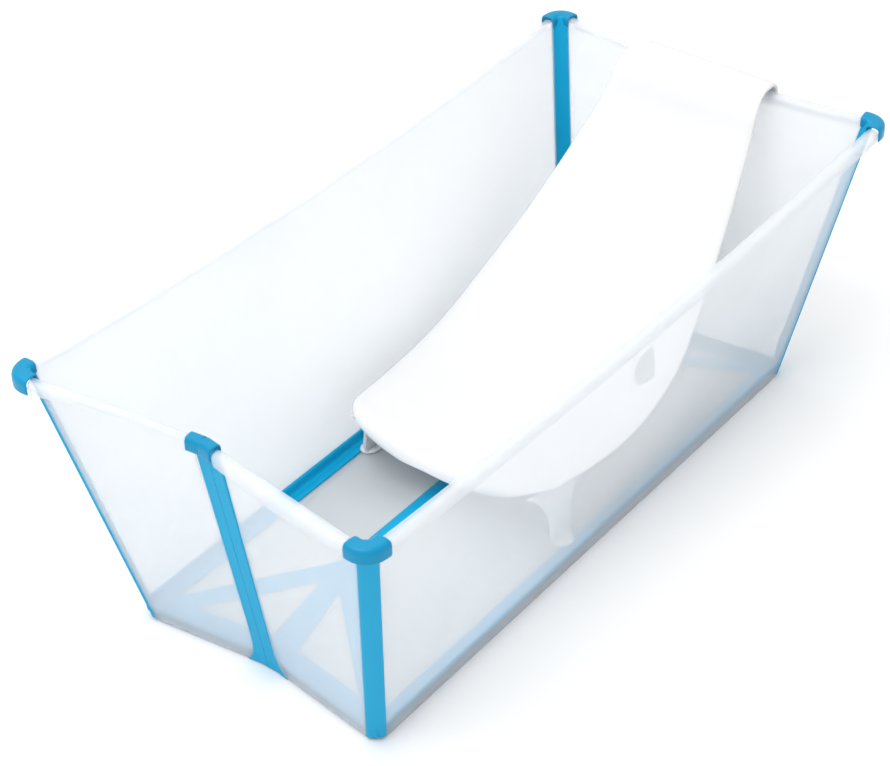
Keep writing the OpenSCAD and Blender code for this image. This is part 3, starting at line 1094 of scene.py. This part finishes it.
@dataclass
class Strips:
    """Every soft strip between two panels."""

    shop: Workshop
    lap: float = 0.8 * MM
    cove_rise: float = 13.0 * MM
    inside: float = 3.0 * MM
    foot_lift: float = 1.0 * MM
    seam_widening: float = 0.4  # share of the seam's taper that widens the strip at the rim
    apex_widening: float = 0.9  # share of the apex taper that widens the strip at its foot

    def corner(self) -> Band:
        """Upright strip on a corner: wing a on the side wall, wing b on the end wall.

        Returns:
            The strip in the near left quarter.
        """
        seam = PLAN.rim_corner - PLAN.base_corner
        reach = PLAN.corner_half + self.lap
        start = PLAN.base_corner + unit(seam) * self.foot_lift
        return Band(start, PLAN.rim_corner, square_to(np.array([1.0, 0.0, 0.0]), seam),
                    square_to(PLAN.base_seam - PLAN.base_corner, seam), (reach,) * 2, (reach,) * 2,
                    fold=10.5 * MM, straight=0.7)

    def end_seam(self) -> Band:
        """Upright strip in the middle of an end, wider at the rim and flared at its foot.

        Returns:
            The strip in the near left quarter.
        """
        seam = PLAN.rim_seam - PLAN.base_seam
        foot = PLAN.seam_half + self.lap
        top = foot + PLAN.seam_taper * self.seam_widening
        left = square_to(PLAN.base_corner - PLAN.base_seam, seam)
        right = mirror(left, side=Side.RIGHT)
        start = PLAN.base_seam + unit(seam) * self.foot_lift
        return Band(start, PLAN.rim_seam, left, right, (foot, top), (foot, top),
                    fold=10.0 * MM, flare=12.0 * MM, straight=1.0)

    def floor_side(self) -> Band:
        """Cove at the foot of a side wall: wing a up the wall, wing b on the floor half.

        Returns:
            The strip along the left wall.
        """
        corner = PLAN.floor_corner
        slope = PLAN.ridge_rise / corner[1]
        lean = (PLAN.rim_width - PLAN.base_width) / 2 / PLAN.rim_height
        drop = (PLAN.base_width / 2 - corner[1]) * slope / (1 + slope * lean)
        z = PLAN.floor_z - drop + self.inside
        y = PLAN.base_width / 2 + lean * z - self.inside
        start = np.array([corner[0], y, z])
        wall = np.array([0.0, lean, 1.0])
        floor = np.array([0.0, -1.0, slope])
        floor_reach = (y - corner[1]) / math.cos(math.atan(slope))
        reach = floor_reach + PLAN.floor_side_half + self.lap
        return Band(start, mirror(start, End.FAR), wall, floor, (self.cove_rise,) * 2, (reach,) * 2,
                    rows=60)

    def floor_end(self) -> Band:
        """Cove at the foot of an end wall: wing a up the wall, wing b on the floor triangle.

        Returns:
            The strip in the near left quarter.
        """
        along = unit(PLAN.base_seam - PLAN.base_corner)
        inward = square_to(np.array([1.0, 0.0, 0.0]), along)
        normal = np.cross(PLAN.floor_seam - PLAN.floor_corner, PLAN.apex - PLAN.floor_corner)
        floor = square_to(inward - UP * (inward @ normal) / normal[2], along)
        back = PLAN.hinge_gap + PLAN.hinge_inset - self.inside
        z = PLAN.floor_z - floor[2] / (floor @ inward) * back
        wall = square_to(PLAN.rim_seam - PLAN.base_seam, along)
        shift = np.array([self.inside, 0.0, z])
        reach = (back + PLAN.triangle_edge + self.lap,) * 2
        return Band(PLAN.base_corner + shift, PLAN.base_seam + shift, wall, floor,
                    (self.cove_rise,) * 2, reach, fold=5.0 * MM)

    def diagonal(self) -> Band:
        """Strip between a floor half, with its wing a, and the triangle next to it.

        Returns:
            The strip in the near left quarter.
        """
        seam = PLAN.apex - PLAN.floor_corner
        reach = PLAN.floor_half + self.lap
        return Band(PLAN.floor_corner, PLAN.apex, square_to(LEVEL, seam),
                    square_to(PLAN.floor_seam - PLAN.floor_corner, seam), (reach,) * 2,
                    (reach,) * 2, fold=3.0 * MM)

    def apex_seam(self) -> Band:
        """Strip between the two triangles of an end: wing a on the left one.

        Returns:
            The strip of the near end.
        """
        seam = PLAN.apex - PLAN.floor_seam
        left = square_to(PLAN.floor_corner - PLAN.floor_seam, seam)
        right = mirror(left, side=Side.RIGHT)
        foot = PLAN.floor_half + PLAN.apex_taper * self.apex_widening
        top = PLAN.floor_half + self.lap
        return Band(PLAN.floor_seam, PLAN.apex, left, right, (foot, top), (foot, top),
                    fold=3.0 * MM)

    def ridge(self) -> Band:
        """Strip along the floor ridge: wing a on the left half.

        Returns:
            The strip on its whole length.
        """
        left = unit(np.array([0.0, PLAN.floor_corner[1], -PLAN.ridge_rise]))
        reach = (PLAN.floor_half + self.lap,) * 2
        return Band(PLAN.apex, mirror(PLAN.apex, End.FAR), left, mirror(left, side=Side.RIGHT),
                    reach, reach, fold=4.0 * MM, rows=48)

    def bent(self, name: str, band: Band, node: str, bodies: tuple[str, str],
             end: End = End.NEAR, side: Side = Side.LEFT) -> None:
        """Builds a whole strip between the bodies of its two wings; it stays where it is built.

        Args:
            name: Name of the piece.
            band: Its shape in the near left quarter.
            node: Node of the part that it replaces.
            bodies: Bodies of wing a and wing b.
            end: The end wanted.
            side: The side wanted.
        """
        points, faces = band.solid()
        middle = (band.start + band.end) / 2
        a = middle + unit(band.wing_a) * band.fold
        b = middle + unit(band.wing_b) * band.fold
        piece = build(name, mirror(points, end, side), faces)
        self.shop.bend(piece, Finish.HINGE, [node], bodies, mirror(a, end, side),
                       mirror(b, end, side))

    def wings(self, name: str, band: Band, nodes: Sequence[str], bodies: tuple[str, str],
              end: End = End.NEAR, side: Side = Side.LEFT) -> None:
        """Builds a strip as two wings that meet at the seam, each on its own body.

        Args:
            name: Name of both pieces, before the letter of the wing.
            band: Its shape in the near left quarter.
            nodes: Nodes of the part that it replaces.
            bodies: Bodies of wing a and wing b.
            end: The end wanted.
            side: The side wanted.
        """
        for part, body in zip((Part.WING_A, Part.WING_B), bodies):
            points, faces = band.solid(part)
            piece = build(f"{name}_{part.value}", mirror(points, end, side), faces)
            self.shop.ride(piece, Finish.HINGE, nodes, body)

    def make(self) -> None:
        """Builds every strip."""
        for side in Side:
            s = side.word
            self.bent(f"floor_cove_{s}", self.floor_side(), f"floor_side_strip_{s}",
                      (f"side_{s}", f"floor_{s}"), side=side)
        self.bent("floor_ridge", self.ridge(), "ridge_strip", ("floor_left", "floor_right"))
        for end in End:
            e = end.word
            self.wings(f"{e}_end_hinge", self.end_seam(), [f"{e}_end_strip"],
                       (f"{e}_end_left", f"{e}_end_right"), end)
            self.wings(f"{e}_apex_hinge", self.apex_seam(), [f"{e}_apex_strip"],
                       (f"{e}_triangle_left", f"{e}_triangle_right"), end)
            for side in Side:
                s = side.word
                self.bent(f"{e}_corner_hinge_{s}", self.corner(), f"{e}_corner_strip_{s}",
                          (f"side_{s}", f"{e}_end_{s}"), end, side)
                self.bent(f"{e}_diagonal_hinge_{s}", self.diagonal(), f"{e}_diagonal_strip_{s}",
                          (f"floor_{s}", f"{e}_triangle_{s}"), end, side)
                self.wings(f"{e}_foot_cove_{s}", self.floor_end(), [f"{e}_floor_end_strip_{s}"],
                           (f"{e}_end_{s}", f"{e}_triangle_{s}"), end, side)


# ---------------------------------------------------------------- caps


@dataclass
class Caps:
    """Soft saddles over the rim, on the corners and on the end seams."""

    shop: Workshop
    thickness: float = 2.2 * MM
    inner: float = -2.9 * MM
    outer: float = 11.9 * MM
    top: float = 2.0 * MM
    inner_drop: float = 8.0 * MM
    outer_drop: float = 12.0 * MM
    shoulder: float = 7.0 * MM
    power: float = 0.55
    arm: float = 15.5 * MM
    turn: float = 12.5 * MM
    seam_outer: float = 8.6 * MM
    seam_drop: float = 10.5 * MM
    seam_steps: int = 9
    bend_reach: float = 8.0 * MM
    sharp: float = 60.0

    def section(self, outer: float, drop: float) -> tuple[Array, Array]:
        """Cross-section of a saddle: up inside the rim, over a flat arch and down outside.

        The arch is half a superellipse, flat on top and round at its shoulders: the distance
        outward is an angle's cosine and the height its sine, both raised to the same power.

        Args:
            outer: How far the outer wall stands out from the wall's middle.
            drop: How far the outer wall comes down below the rim.

        Returns:
            Distance outward and distance up from the rim's height.
        """
        angle = np.linspace(math.pi, 0, 21)
        middle, half = (self.inner + outer) / 2, (outer - self.inner) / 2
        arch = middle + half * np.sign(np.cos(angle)) * np.abs(np.cos(angle)) ** self.power
        base = self.top - self.shoulder
        over = base + self.shoulder * np.abs(np.sin(angle)) ** self.power
        wall = open_ended(3, self.inner_drop, self.thickness / 2)
        first = wall * (self.inner_drop + base) - self.inner_drop
        last = base - (drop + base) * (1 - wall[::-1])
        out = np.concatenate([np.full_like(first, self.inner), arch, np.full_like(last, outer)])
        return out, np.concatenate([first, over, last])

    def sweep(self, line: Array, outer: float, drop: float) -> tuple[Array, Array]:
        """Carries the section along a level line on the rim, square to the line.

        Args:
            line: Points of the line.
            outer: Reach of the section outward.
            drop: Drop of the section outside.

        Returns:
            Points and faces.
        """
        out, up = self.section(outer, drop)
        tangent = unit(np.gradient(line, axis=0))
        away = unit(np.cross(tangent, UP))
        away = away * np.sign((away * line).sum(axis=1, keepdims=True))
        grid = line[:, None, :] + away[:, None, :] * out[None, :, None] + UP * up[None, :, None]
        return shell(grid, self.thickness, Edges.even(self.thickness / 2))

    def corner_line(self) -> Array:
        """Level line round a rim corner: straight arms and a rounded turn on a quadratic curve.

        Returns:
            Points of the line, from the side's arm to the end's.
        """
        corner = PLAN.rim_corner
        along_side = np.array([1.0, 0.0, 0.0])
        along_end = unit((PLAN.rim_seam - corner) * LEVEL)
        turn = self.turn
        arm = open_ended(3, self.arm, self.thickness / 2)[:, None]
        tau = np.linspace(0, 1, 11)[:, None]
        first = corner + along_side * (self.arm + (turn - self.arm) * arm)
        last = corner + along_end * (self.arm + (turn - self.arm) * arm[::-1])
        middle = corner + along_side * turn * (1 - tau) ** 2 + along_end * turn * tau**2
        return np.concatenate([first, middle, last])

    def make(self) -> None:
        """Builds the four corner saddles and the two seam saddles."""
        points, faces = self.sweep(self.corner_line(), self.outer, self.outer_drop)
        a = PLAN.rim_corner + np.array([self.bend_reach, 0.0, 0.0])
        b = PLAN.rim_corner - np.array([0.0, self.bend_reach, 0.0])
        for end in End:
            for side in Side:
                quarter, s = (end, side), side.word
                piece = build(f"{end.word}_corner_saddle_{s}", mirror(points, *quarter), faces,
                              self.sharp)
                self.shop.bend(piece, Finish.CAP, [f"{end.word}_corner_cap_{s}"],
                               (f"side_{s}", f"{end.word}_end_{s}"),
                               mirror(a, *quarter), mirror(b, *quarter))
        along = unit((PLAN.rim_corner - PLAN.rim_seam) * LEVEL)
        share = spaced(self.seam_steps, self.arm, self.thickness / 2)[:, None]
        line = PLAN.rim_seam + along * self.arm * share
        points, faces = self.sweep(line, self.seam_outer, self.seam_drop)
        for side in Side:
            for end in End:
                name = f"{end.word}_seam_saddle_{side.word}"
                piece = build(name, mirror(points, end, side), faces, self.sharp)
                self.shop.ride(piece, Finish.CAP, [f"{end.word}_seam_cap"],
                               f"{end.word}_end_{side.word}")


# ---------------------------------------------------------------- newborn support


@dataclass(frozen=True)
class Leg:
    """Sizes of a leg of the support and of the pad under it, drawn on the left."""

    x: float = -30.0 * MM
    y: float = 117.0 * MM
    clear: float = 0.8 * MM
    sunk: float = 6.5 * MM  # how far its top stays under the seat's middle surface
    length: float = 75.0 * MM
    breadth: float = 50.0 * MM
    tongue: float = 16.0 * MM
    root: float = 30.0 * MM
    root_share: float = 0.75
    root_power: float = 2.6
    tip: float = 0.24
    tip_width: float = 0.35
    forward: float = 4.0 * MM
    lean: float = 9.0 * MM
    lean_power: float = 1.5
    pad_y: float = 118.0 * MM
    pad_clear: float = 0.5 * MM
    pad_radius: float = 12.5 * MM
    pad_roll: float = 2.0 * MM
    pad_steps: int = 40


@dataclass(frozen=True)
class Grip:
    """Sizes of the half-round grip beside the seat's edge and of its sheet of painted shade, drawn
    on the left.
    """

    x: float = 144.0 * MM
    y: float = 114.0 * MM
    radius: float = 27.0 * MM
    start: float = -50.0
    stop: float = -205.0
    steps: int = 26
    bead: float = 2.2 * MM
    bead_steps: int = 12
    taper: float = 0.08
    # the half-moon of painted shade inside the grip's line
    well_t: float = 2.4 * MM
    well_edge: float = 0.5 * MM
    well_length: float = 20.0 * MM


@dataclass
class NewbornSupport:
    """White seat that hangs from the far rim and stands on two feet."""

    shop: Workshop
    leg: Leg = field(default_factory=Leg)
    grip: Grip = field(default_factory=Grip)
    thickness: float = 4.0 * MM
    body: str = "support"
    node: str = "newborn_support"
    sharp: float = 60.0
    centre: Sequence[tuple[float, float]] = (
        (-0.092, 0.0790), (-0.088, 0.0855), (-0.078, 0.0885), (-0.046, 0.0860), (0.0, 0.0830),
        (0.040, 0.0815), (0.085, 0.0860), (0.125, 0.0980), (0.160, 0.1160), (0.200, 0.1440),
        (0.245, 0.1800), (0.290, 0.2220), (0.333, 0.2700), (0.351, 0.2975), (0.364, 0.3065),
        (0.379, 0.3080), (0.394, 0.3045), (0.3985, 0.2990), (0.3990, 0.2835))
    widths: Sequence[tuple[float, float]] = (
        (-0.092, 0.117), (-0.05, 0.121), (0.05, 0.130), (0.11, 0.131), (0.16, 0.128),
        (0.20, 0.119), (0.27, 0.104), (0.31, 0.094), (0.35, 0.084), (0.40, 0.079))
    breadth: float = 250.0 * MM
    low_rows: int = 60  # rows of the centre line that lie in front of the back
    smoothing: int = 41
    front_round: float = 50.0 * MM
    front_bow: float = 12.0 * MM
    bow_length: float = 120.0 * MM
    dish: float = 6.0 * MM
    dish_power: float = 2.2
    dish_level: float = 0.4
    dish_span: tuple[float, float] = (0.05, 0.92)
    dish_fade: float = 6.0
    roll: float = 10.0 * MM
    roll_drop: float = 0.55
    roll_least: float = 0.3

    def centre_line(self, count: int = 90) -> Array:
        """Smooth line through the chosen side-view points, evenly spaced by length.

        Between two points it is a cubic that leaves and meets them along their tangents, each
        of which is the slope between the points' neighbours.

        Args:
            count: Evenly spaced places between the rounded ends.

        Returns:
            x, z and length run so far, one row a place.
        """
        knots = np.array(self.centre)
        steps = np.linalg.norm(np.diff(knots, axis=0), axis=1)
        at = np.concatenate([[0], np.cumsum(steps)])
        tangent = np.gradient(knots, at, axis=0)
        fine = np.linspace(0, at[-1], 10 * count)
        i = np.clip(np.searchsorted(at, fine, side="right") - 1, 0, len(knots) - 2)
        span = (at[i + 1] - at[i])[:, None]
        t = (fine - at[i])[:, None] / span
        leave, meet = (t**3 - 2 * t**2 + t) * span, (t**3 - t**2) * span
        line = ((1 - smooth(t)) * knots[i] + leave * tangent[i]
                + smooth(t) * knots[i + 1] + meet * tangent[i + 1])
        steps = np.linalg.norm(np.diff(line, axis=0), axis=1)
        run = np.concatenate([[0], np.cumsum(steps)])
        wanted = spaced(count, run[-1], self.thickness / 2) * run[-1]
        x, z = (np.interp(wanted, run, line[:, i]) for i in range(2))
        return np.stack([x, z, wanted], axis=1)

    def half_width(self, line: Array) -> Array:
        """Half width along the line: smoothed straight runs, less a quarter circle at the front.

        Args:
            line: Rows of x, z and length run so far.

        Returns:
            Half widths, one a row.
        """
        knots = np.array(self.widths)
        fine = np.linspace(knots[0, 0], knots[-1, 0], 200)
        plain = np.pad(np.interp(fine, knots[:, 0], knots[:, 1]), self.smoothing // 2, mode="edge")
        window = np.hanning(self.smoothing)
        soft = np.convolve(plain, window / window.sum(), mode="valid")
        inside = np.clip(line[:, 2] / self.front_round, 0, 1)
        corner = self.front_round * (1 - np.sqrt(1 - (1 - inside) ** 2))
        return np.interp(line[:, 0], fine, soft) - corner

    def surface(self) -> Array:
        """Middle surface of the seat.

        Rows follow the centre line and columns run across. Across the seat the surface dishes
        towards the middle on a power law, and its last part rolls down. The front edge bows
        forward in the middle on a square law, which fades out behind the front.

        Returns:
            Grid of points.
        """
        line = self.centre_line()
        half = self.half_width(line)[:, None]
        v = spaced(30, self.breadth, self.thickness / 2)[None, :] * 2 - 1
        tangent = unit(np.gradient(line[:, :2], axis=0))
        normal = np.stack([-tangent[:, 1], tangent[:, 0]], axis=1)
        share = line[:, 2:] / line[-1, 2]
        begin, stop = self.dish_span
        dished = (np.clip((share - begin) * self.dish_fade, 0, 1)
                  * np.clip((stop - share) * self.dish_fade, 0, 1))
        lift = self.dish * (np.abs(v) ** self.dish_power - self.dish_level) * dished
        edge = np.clip((np.abs(v) * half - (half - self.roll)) / self.roll, 0, 1)
        rolled = np.clip(dished + self.roll_least, 0, 1)
        lift = lift - self.roll * self.roll_drop * edge**2 * rolled
        near = np.clip(1 - line[:, 2:] / self.bow_length, 0, 1)
        x = line[:, :1] + normal[:, :1] * lift + self.front_bow * near * v**2
        z = line[:, 1:2] + normal[:, 1:2] * lift
        return np.stack([x, v * half, z], axis=-1)

    def leg_tongue(self) -> tuple[Array, Array]:
        """Left leg: a tongue that hangs from the seat's edge and flares into it.

        The half width falls from a wide root to the tongue's on a power law, and closes on a
        quarter circle at the foot. Its top follows the seat, and it leans inward going up.

        Returns:
            Points and faces.
        """
        leg, line = self.leg, self.centre_line()
        low = line[:self.low_rows]
        foot_z = PLAN.floor_height(leg.y) + PLAN.panel_t / 2 + leg.clear
        s = spaced(26, leg.length, self.thickness / 2)[:, None]
        v = spaced(12, leg.breadth, self.thickness / 2)[None, :] * 2 - 1
        root = leg.root * np.clip(1 - s / leg.root_share, 0, 1) ** leg.root_power
        inside = np.clip((1 - s) / leg.tip, 0, 1)
        tip = leg.tip_width + (1 - leg.tip_width) * np.sqrt(1 - (1 - inside) ** 2)
        x = leg.x + leg.forward * (1 - s) + v * (leg.tongue + root) * tip
        y = np.broadcast_to(leg.y - leg.lean * (1 - s) ** leg.lean_power, x.shape)
        top = np.interp(x, low[:, 0], low[:, 1]) - leg.sunk
        return shell(np.stack([x, y, top + (foot_z - top) * s], axis=-1), self.thickness)

    def leg_pad(self) -> tuple[Array, Array]:
        """Round pad under the left leg: a flat disc whose edge is half a circle.

        Returns:
            Points and faces.
        """
        leg = self.leg
        angle = np.linspace(-math.pi / 2, math.pi / 2, 9)
        flat = leg.pad_radius - leg.pad_roll
        out, up = flat + leg.pad_roll * np.cos(angle), leg.pad_roll * (1 + np.sin(angle))
        arc = np.stack([out, up], axis=1)
        profile = np.concatenate([[[AXIS, 0.0]], arc, [[AXIS, 2 * leg.pad_roll]]])
        points, faces = revolve(profile, leg.pad_steps)
        height = PLAN.floor_height(leg.pad_y) + PLAN.panel_t / 2 + leg.pad_clear
        return points @ floor_turn() + np.array([leg.x, leg.pad_y, height]), faces

    def grip_line(self) -> Array:
        """Part of a circle beside the seat's edge, at the height of the seat's top face.

        Returns:
            Points of the line.
        """
        grip, line = self.grip, self.centre_line()
        angle = np.radians(np.linspace(grip.start, grip.stop, grip.steps))
        x = grip.x + grip.radius * np.cos(angle)
        y = grip.y + grip.radius * np.sin(angle)
        height = np.interp(x, line[:, 0], line[:, 1]) + self.thickness / 2
        return np.stack([x, y, height], axis=1)

    def grip_well(self) -> tuple[Array, Array]:
        """Half-moon of painted shade for a shallow recess: a straight mix of the grip's line and
        the chord between its ends.

        Returns:
            Points and faces.
        """
        grip, arc = self.grip, self.grip_line()
        share = np.linspace(0, 1, grip.steps)[:, None]
        chord = arc[:1] * (1 - share) + arc[-1:] * share
        across = spaced(6, grip.well_length, grip.well_edge)[None, :, None]
        inner = arc[:, None, :] * across + chord[:, None, :] * (1 - across)
        return shell(inner[1:-1], grip.well_t, Edges.even(grip.well_edge))

    def grip_bead(self) -> tuple[Array, Array]:
        """Bead along the grip's line: circles whose radius swells and fades on a sine's root.

        Returns:
            Points and faces.
        """
        grip, centre = self.grip, self.grip_line()
        turn = np.linspace(0, 2 * math.pi, grip.bead_steps, endpoint=False)[None, :, None]
        side = unit(np.cross(np.gradient(centre, axis=0), UP))[:, None, :]
        swell = np.sin(np.linspace(grip.taper, math.pi - grip.taper, grip.steps)) ** 0.5
        ring = grip.bead * swell[:, None, None] * (side * np.cos(turn) + UP * np.sin(turn))
        points = centre[:, None, :] + ring
        return points.reshape(-1, 3), closed_tube(grip.steps, grip.bead_steps)

    def make(self) -> None:
        """Builds the seat, its grip on the right with a grey half-moon of painted shade, and its
        two legs with their pads.
        """
        points, faces = shell(self.surface(), self.thickness)
        seat = build("seat_shell", points, faces, self.sharp)
        self.shop.ride(seat, Finish.SEAT, [self.node], self.body)
        # the grey half-moon beside the bead is painted shade of a recess
        for name, (points, faces), finish in (("seat_grip", self.grip_bead(), Finish.SEAT),
                                              ("seat_grip_well", self.grip_well(), Finish.WELL)):
            piece = build(name, mirror(points, side=Side.RIGHT), faces)
            self.shop.ride(piece, finish, [self.node], self.body)
        lower = (("seat_leg", self.leg_tongue()), ("seat_foot", self.leg_pad()))
        for side in Side:
            for name, (points, faces) in lower:
                piece = build(f"{name}_{side.word}", mirror(points, side=side), faces)
                self.shop.ride(piece, Finish.SEAT, [self.node], self.body)


def closed_tube(rows: int, cols: int) -> Array:
    """Faces of a tube of rings counted row by row, closed at both ends by folded rings.

    Args:
        rows: Rings along the tube.
        cols: Points round a ring, an even number.

    Returns:
        Four-cornered faces.
    """
    number = np.arange(rows * cols).reshape(rows, cols)
    turn = np.roll(number, -1, axis=1)
    wall = np.stack([number[:-1], number[1:], turn[1:], turn[:-1]], axis=-1).reshape(-1, 4)
    rings = number[[0, -1]]
    low, high = rings[:, :cols // 2], rings[:, ::-1][:, :cols // 2]
    ends = np.stack([low[:, :-1], low[:, 1:], high[:, 1:], high[:, :-1]], axis=-1)
    return np.concatenate([wall, ends[0], ends[1][:, ::-1]])


# ---------------------------------------------------------------- drain


@dataclass
class Drain:
    """Soft ring in the floor and the plug that closes it."""

    shop: Workshop
    bore: float = 13.0 * MM
    wall: float = 4.0 * MM
    lip: float = 1.6 * MM
    flange: float = 7.0 * MM
    soft: float = 0.5 * MM
    gap: float = 0.3 * MM
    stem_gap: float = 0.4 * MM
    dome: float = 2.0 * MM

    def ring(self) -> Array:
        """Closed profile of the ring: a collar through the floor with a flange under it.

        Returns:
            Points of radius and height.
        """
        under = PLAN.panel_t / 2
        top = under + self.lip
        r0, r1, r2 = self.bore, self.bore + self.wall, self.bore + self.flange
        soft = self.soft
        return np.array([
            [r0, -top + soft], [r0 + soft, -top], [r2 - soft, -top], [r2, -top + soft],
            [r2, -under - self.gap], [r1, -under - self.gap], [r1, top - 2 * soft],
            [r1 - soft, top - 0.3 * soft], [r1 - 2 * soft, top], [r0 + soft, top],
            [r0, top - soft]])

    def plug(self) -> Array:
        """Closed profile of the plug: a low dome with a rolled brim, and a stem in the bore.

        Returns:
            Points of radius and height.
        """
        under = PLAN.panel_t / 2
        top = under + self.lip + self.gap
        brim = self.bore + self.wall - self.soft
        stem = self.bore - self.stem_gap
        return np.array([
            [AXIS, -under], [stem - 2 * self.soft, -under], [stem, -self.soft],
            [stem, top - 0.05 * self.dome], [brim, top],
            [brim + self.stem_gap, top + 0.35 * self.dome],
            [brim - 2 * self.gap, top + 0.75 * self.dome],
            [brim - self.wall, top + 0.95 * self.dome], [AXIS, top + self.dome]])

    def make(self) -> None:
        """Builds the ring and the plug."""
        points, faces = revolve(self.ring())
        piece = build("drain_seal", drain_frame(points), faces)
        self.shop.ride(piece, Finish.HINGE, ["drain_ring"], "floor_left")
        points, faces = revolve(self.plug())
        piece = build("drain_stopper", drain_frame(points), faces)
        self.shop.ride(piece, Finish.PLUG, ["drain_plug"], "plug")


# ---------------------------------------------------------------- studio


@dataclass(frozen=True)
class SoftLight:
    """A square soft light: its name, place, side and power in watts."""

    name: str
    place: tuple[float, float, float]
    size: float
    power: float


@dataclass
class Studio:
    """Floor, lights and camera."""

    finishes: Finishes
    eye: tuple[float, float, float] = (-1.4031, -1.0829, 1.4656)
    yaw: float = 0.6771
    pitch: float = 0.6456
    roll: float = -0.0277
    lens: float = 92.5
    sensor: float = 36.0
    clip: tuple[float, float] = (0.05, 60.0)
    floor_half: float = 14.0
    floor_drop: float = 0.2 * MM
    sky_strength: float = 0.88
    aim: tuple[float, float, float] = (0.0, 0.0, 0.1)
    lights: tuple[SoftLight, ...] = (
        SoftLight("key", (0.3, 1.0, 2.8), 2.6, 22.0),
        SoftLight("near_end", (-1.3, 0.1, 2.6), 1.6, 34.0))

    def floor(self) -> None:
        """Lays a level square floor under the bath."""
        share = np.linspace(-1, 1, 5)
        x, y = np.meshgrid(share * self.floor_half, share * self.floor_half, indexing="ij")
        points = np.stack([x, y, np.full_like(x, -self.floor_drop)], axis=-1).reshape(-1, 3)
        mesh = bpy.data.meshes.new("studio_floor")
        mesh.from_pydata(points.tolist(), [], grid_quads(5, 5).tolist())
        mesh.materials.append(self.finishes.floor)
        ground = bpy.data.objects.new("studio_floor", mesh)
        bpy.context.scene.collection.objects.link(ground)

    def hang(self, light: SoftLight) -> None:
        """Hangs a soft light that looks at the bath.

        Args:
            light: The light wanted.
        """
        lamp = bpy.data.lights.new(light.name, "AREA")
        lamp.size, lamp.energy = light.size, light.power
        holder = bpy.data.objects.new(light.name, lamp)
        holder.location = light.place
        holder.rotation_mode = "QUATERNION"
        towards = Vector(self.aim) - Vector(light.place)
        holder.rotation_quaternion = towards.to_track_quat("-Z", "Y")
        bpy.context.scene.collection.objects.link(holder)

    def sky(self) -> None:
        """Even white light from all round."""
        world = bpy.data.worlds.new("studio_sky")
        world.use_nodes = True
        glow = world.node_tree.nodes["Background"]
        glow.inputs[0].default_value = (1.0, 1.0, 1.0, 1.0)
        glow.inputs[1].default_value = self.sky_strength
        bpy.context.scene.world = world

    def camera(self) -> None:
        """Sets the camera by its place, its turn, its tilt down and its roll."""
        level_part = math.cos(self.pitch)
        forward = Vector((level_part * math.cos(self.yaw), level_part * math.sin(self.yaw),
                          -math.sin(self.pitch)))
        right = Vector((math.sin(self.yaw), -math.cos(self.yaw), 0.0))
        up = right.cross(forward)
        c, s = math.cos(self.roll), math.sin(self.roll)
        level, above = right * c + up * s, up * c - right * s
        turn = Matrix((level, above, -forward)).transposed()
        eye = bpy.data.cameras.new("camera")
        eye.sensor_width, eye.lens = self.sensor, self.lens
        eye.clip_start, eye.clip_end = self.clip
        holder = bpy.data.objects.new("camera", eye)
        holder.matrix_world = Matrix.Translation(Vector(self.eye)) @ turn.to_4x4()
        bpy.context.scene.collection.objects.link(holder)
        bpy.context.scene.camera = holder

    def make(self) -> None:
        """Sets up the whole studio."""
        self.floor()
        for light in self.lights:
            self.hang(light)
        self.sky()
        self.camera()
        bpy.context.scene.view_settings.view_transform = "Standard"


def main() -> None:
    """Builds the bath round its frame, in the studio."""
    logging.basicConfig(level=logging.INFO, format="%(name)s: %(message)s", stream=sys.stdout)
    finishes = Finishes()
    shop = Workshop(finishes)
    for group in (SidePanels(shop), EndPanels(shop), Floor(shop), Strips(shop), Caps(shop),
                  NewbornSupport(shop), Drain(shop)):
        group.make()
    Studio(finishes).make()
    log.info("%d pieces made", shop.made)


if __name__ == "__main__":
    main()
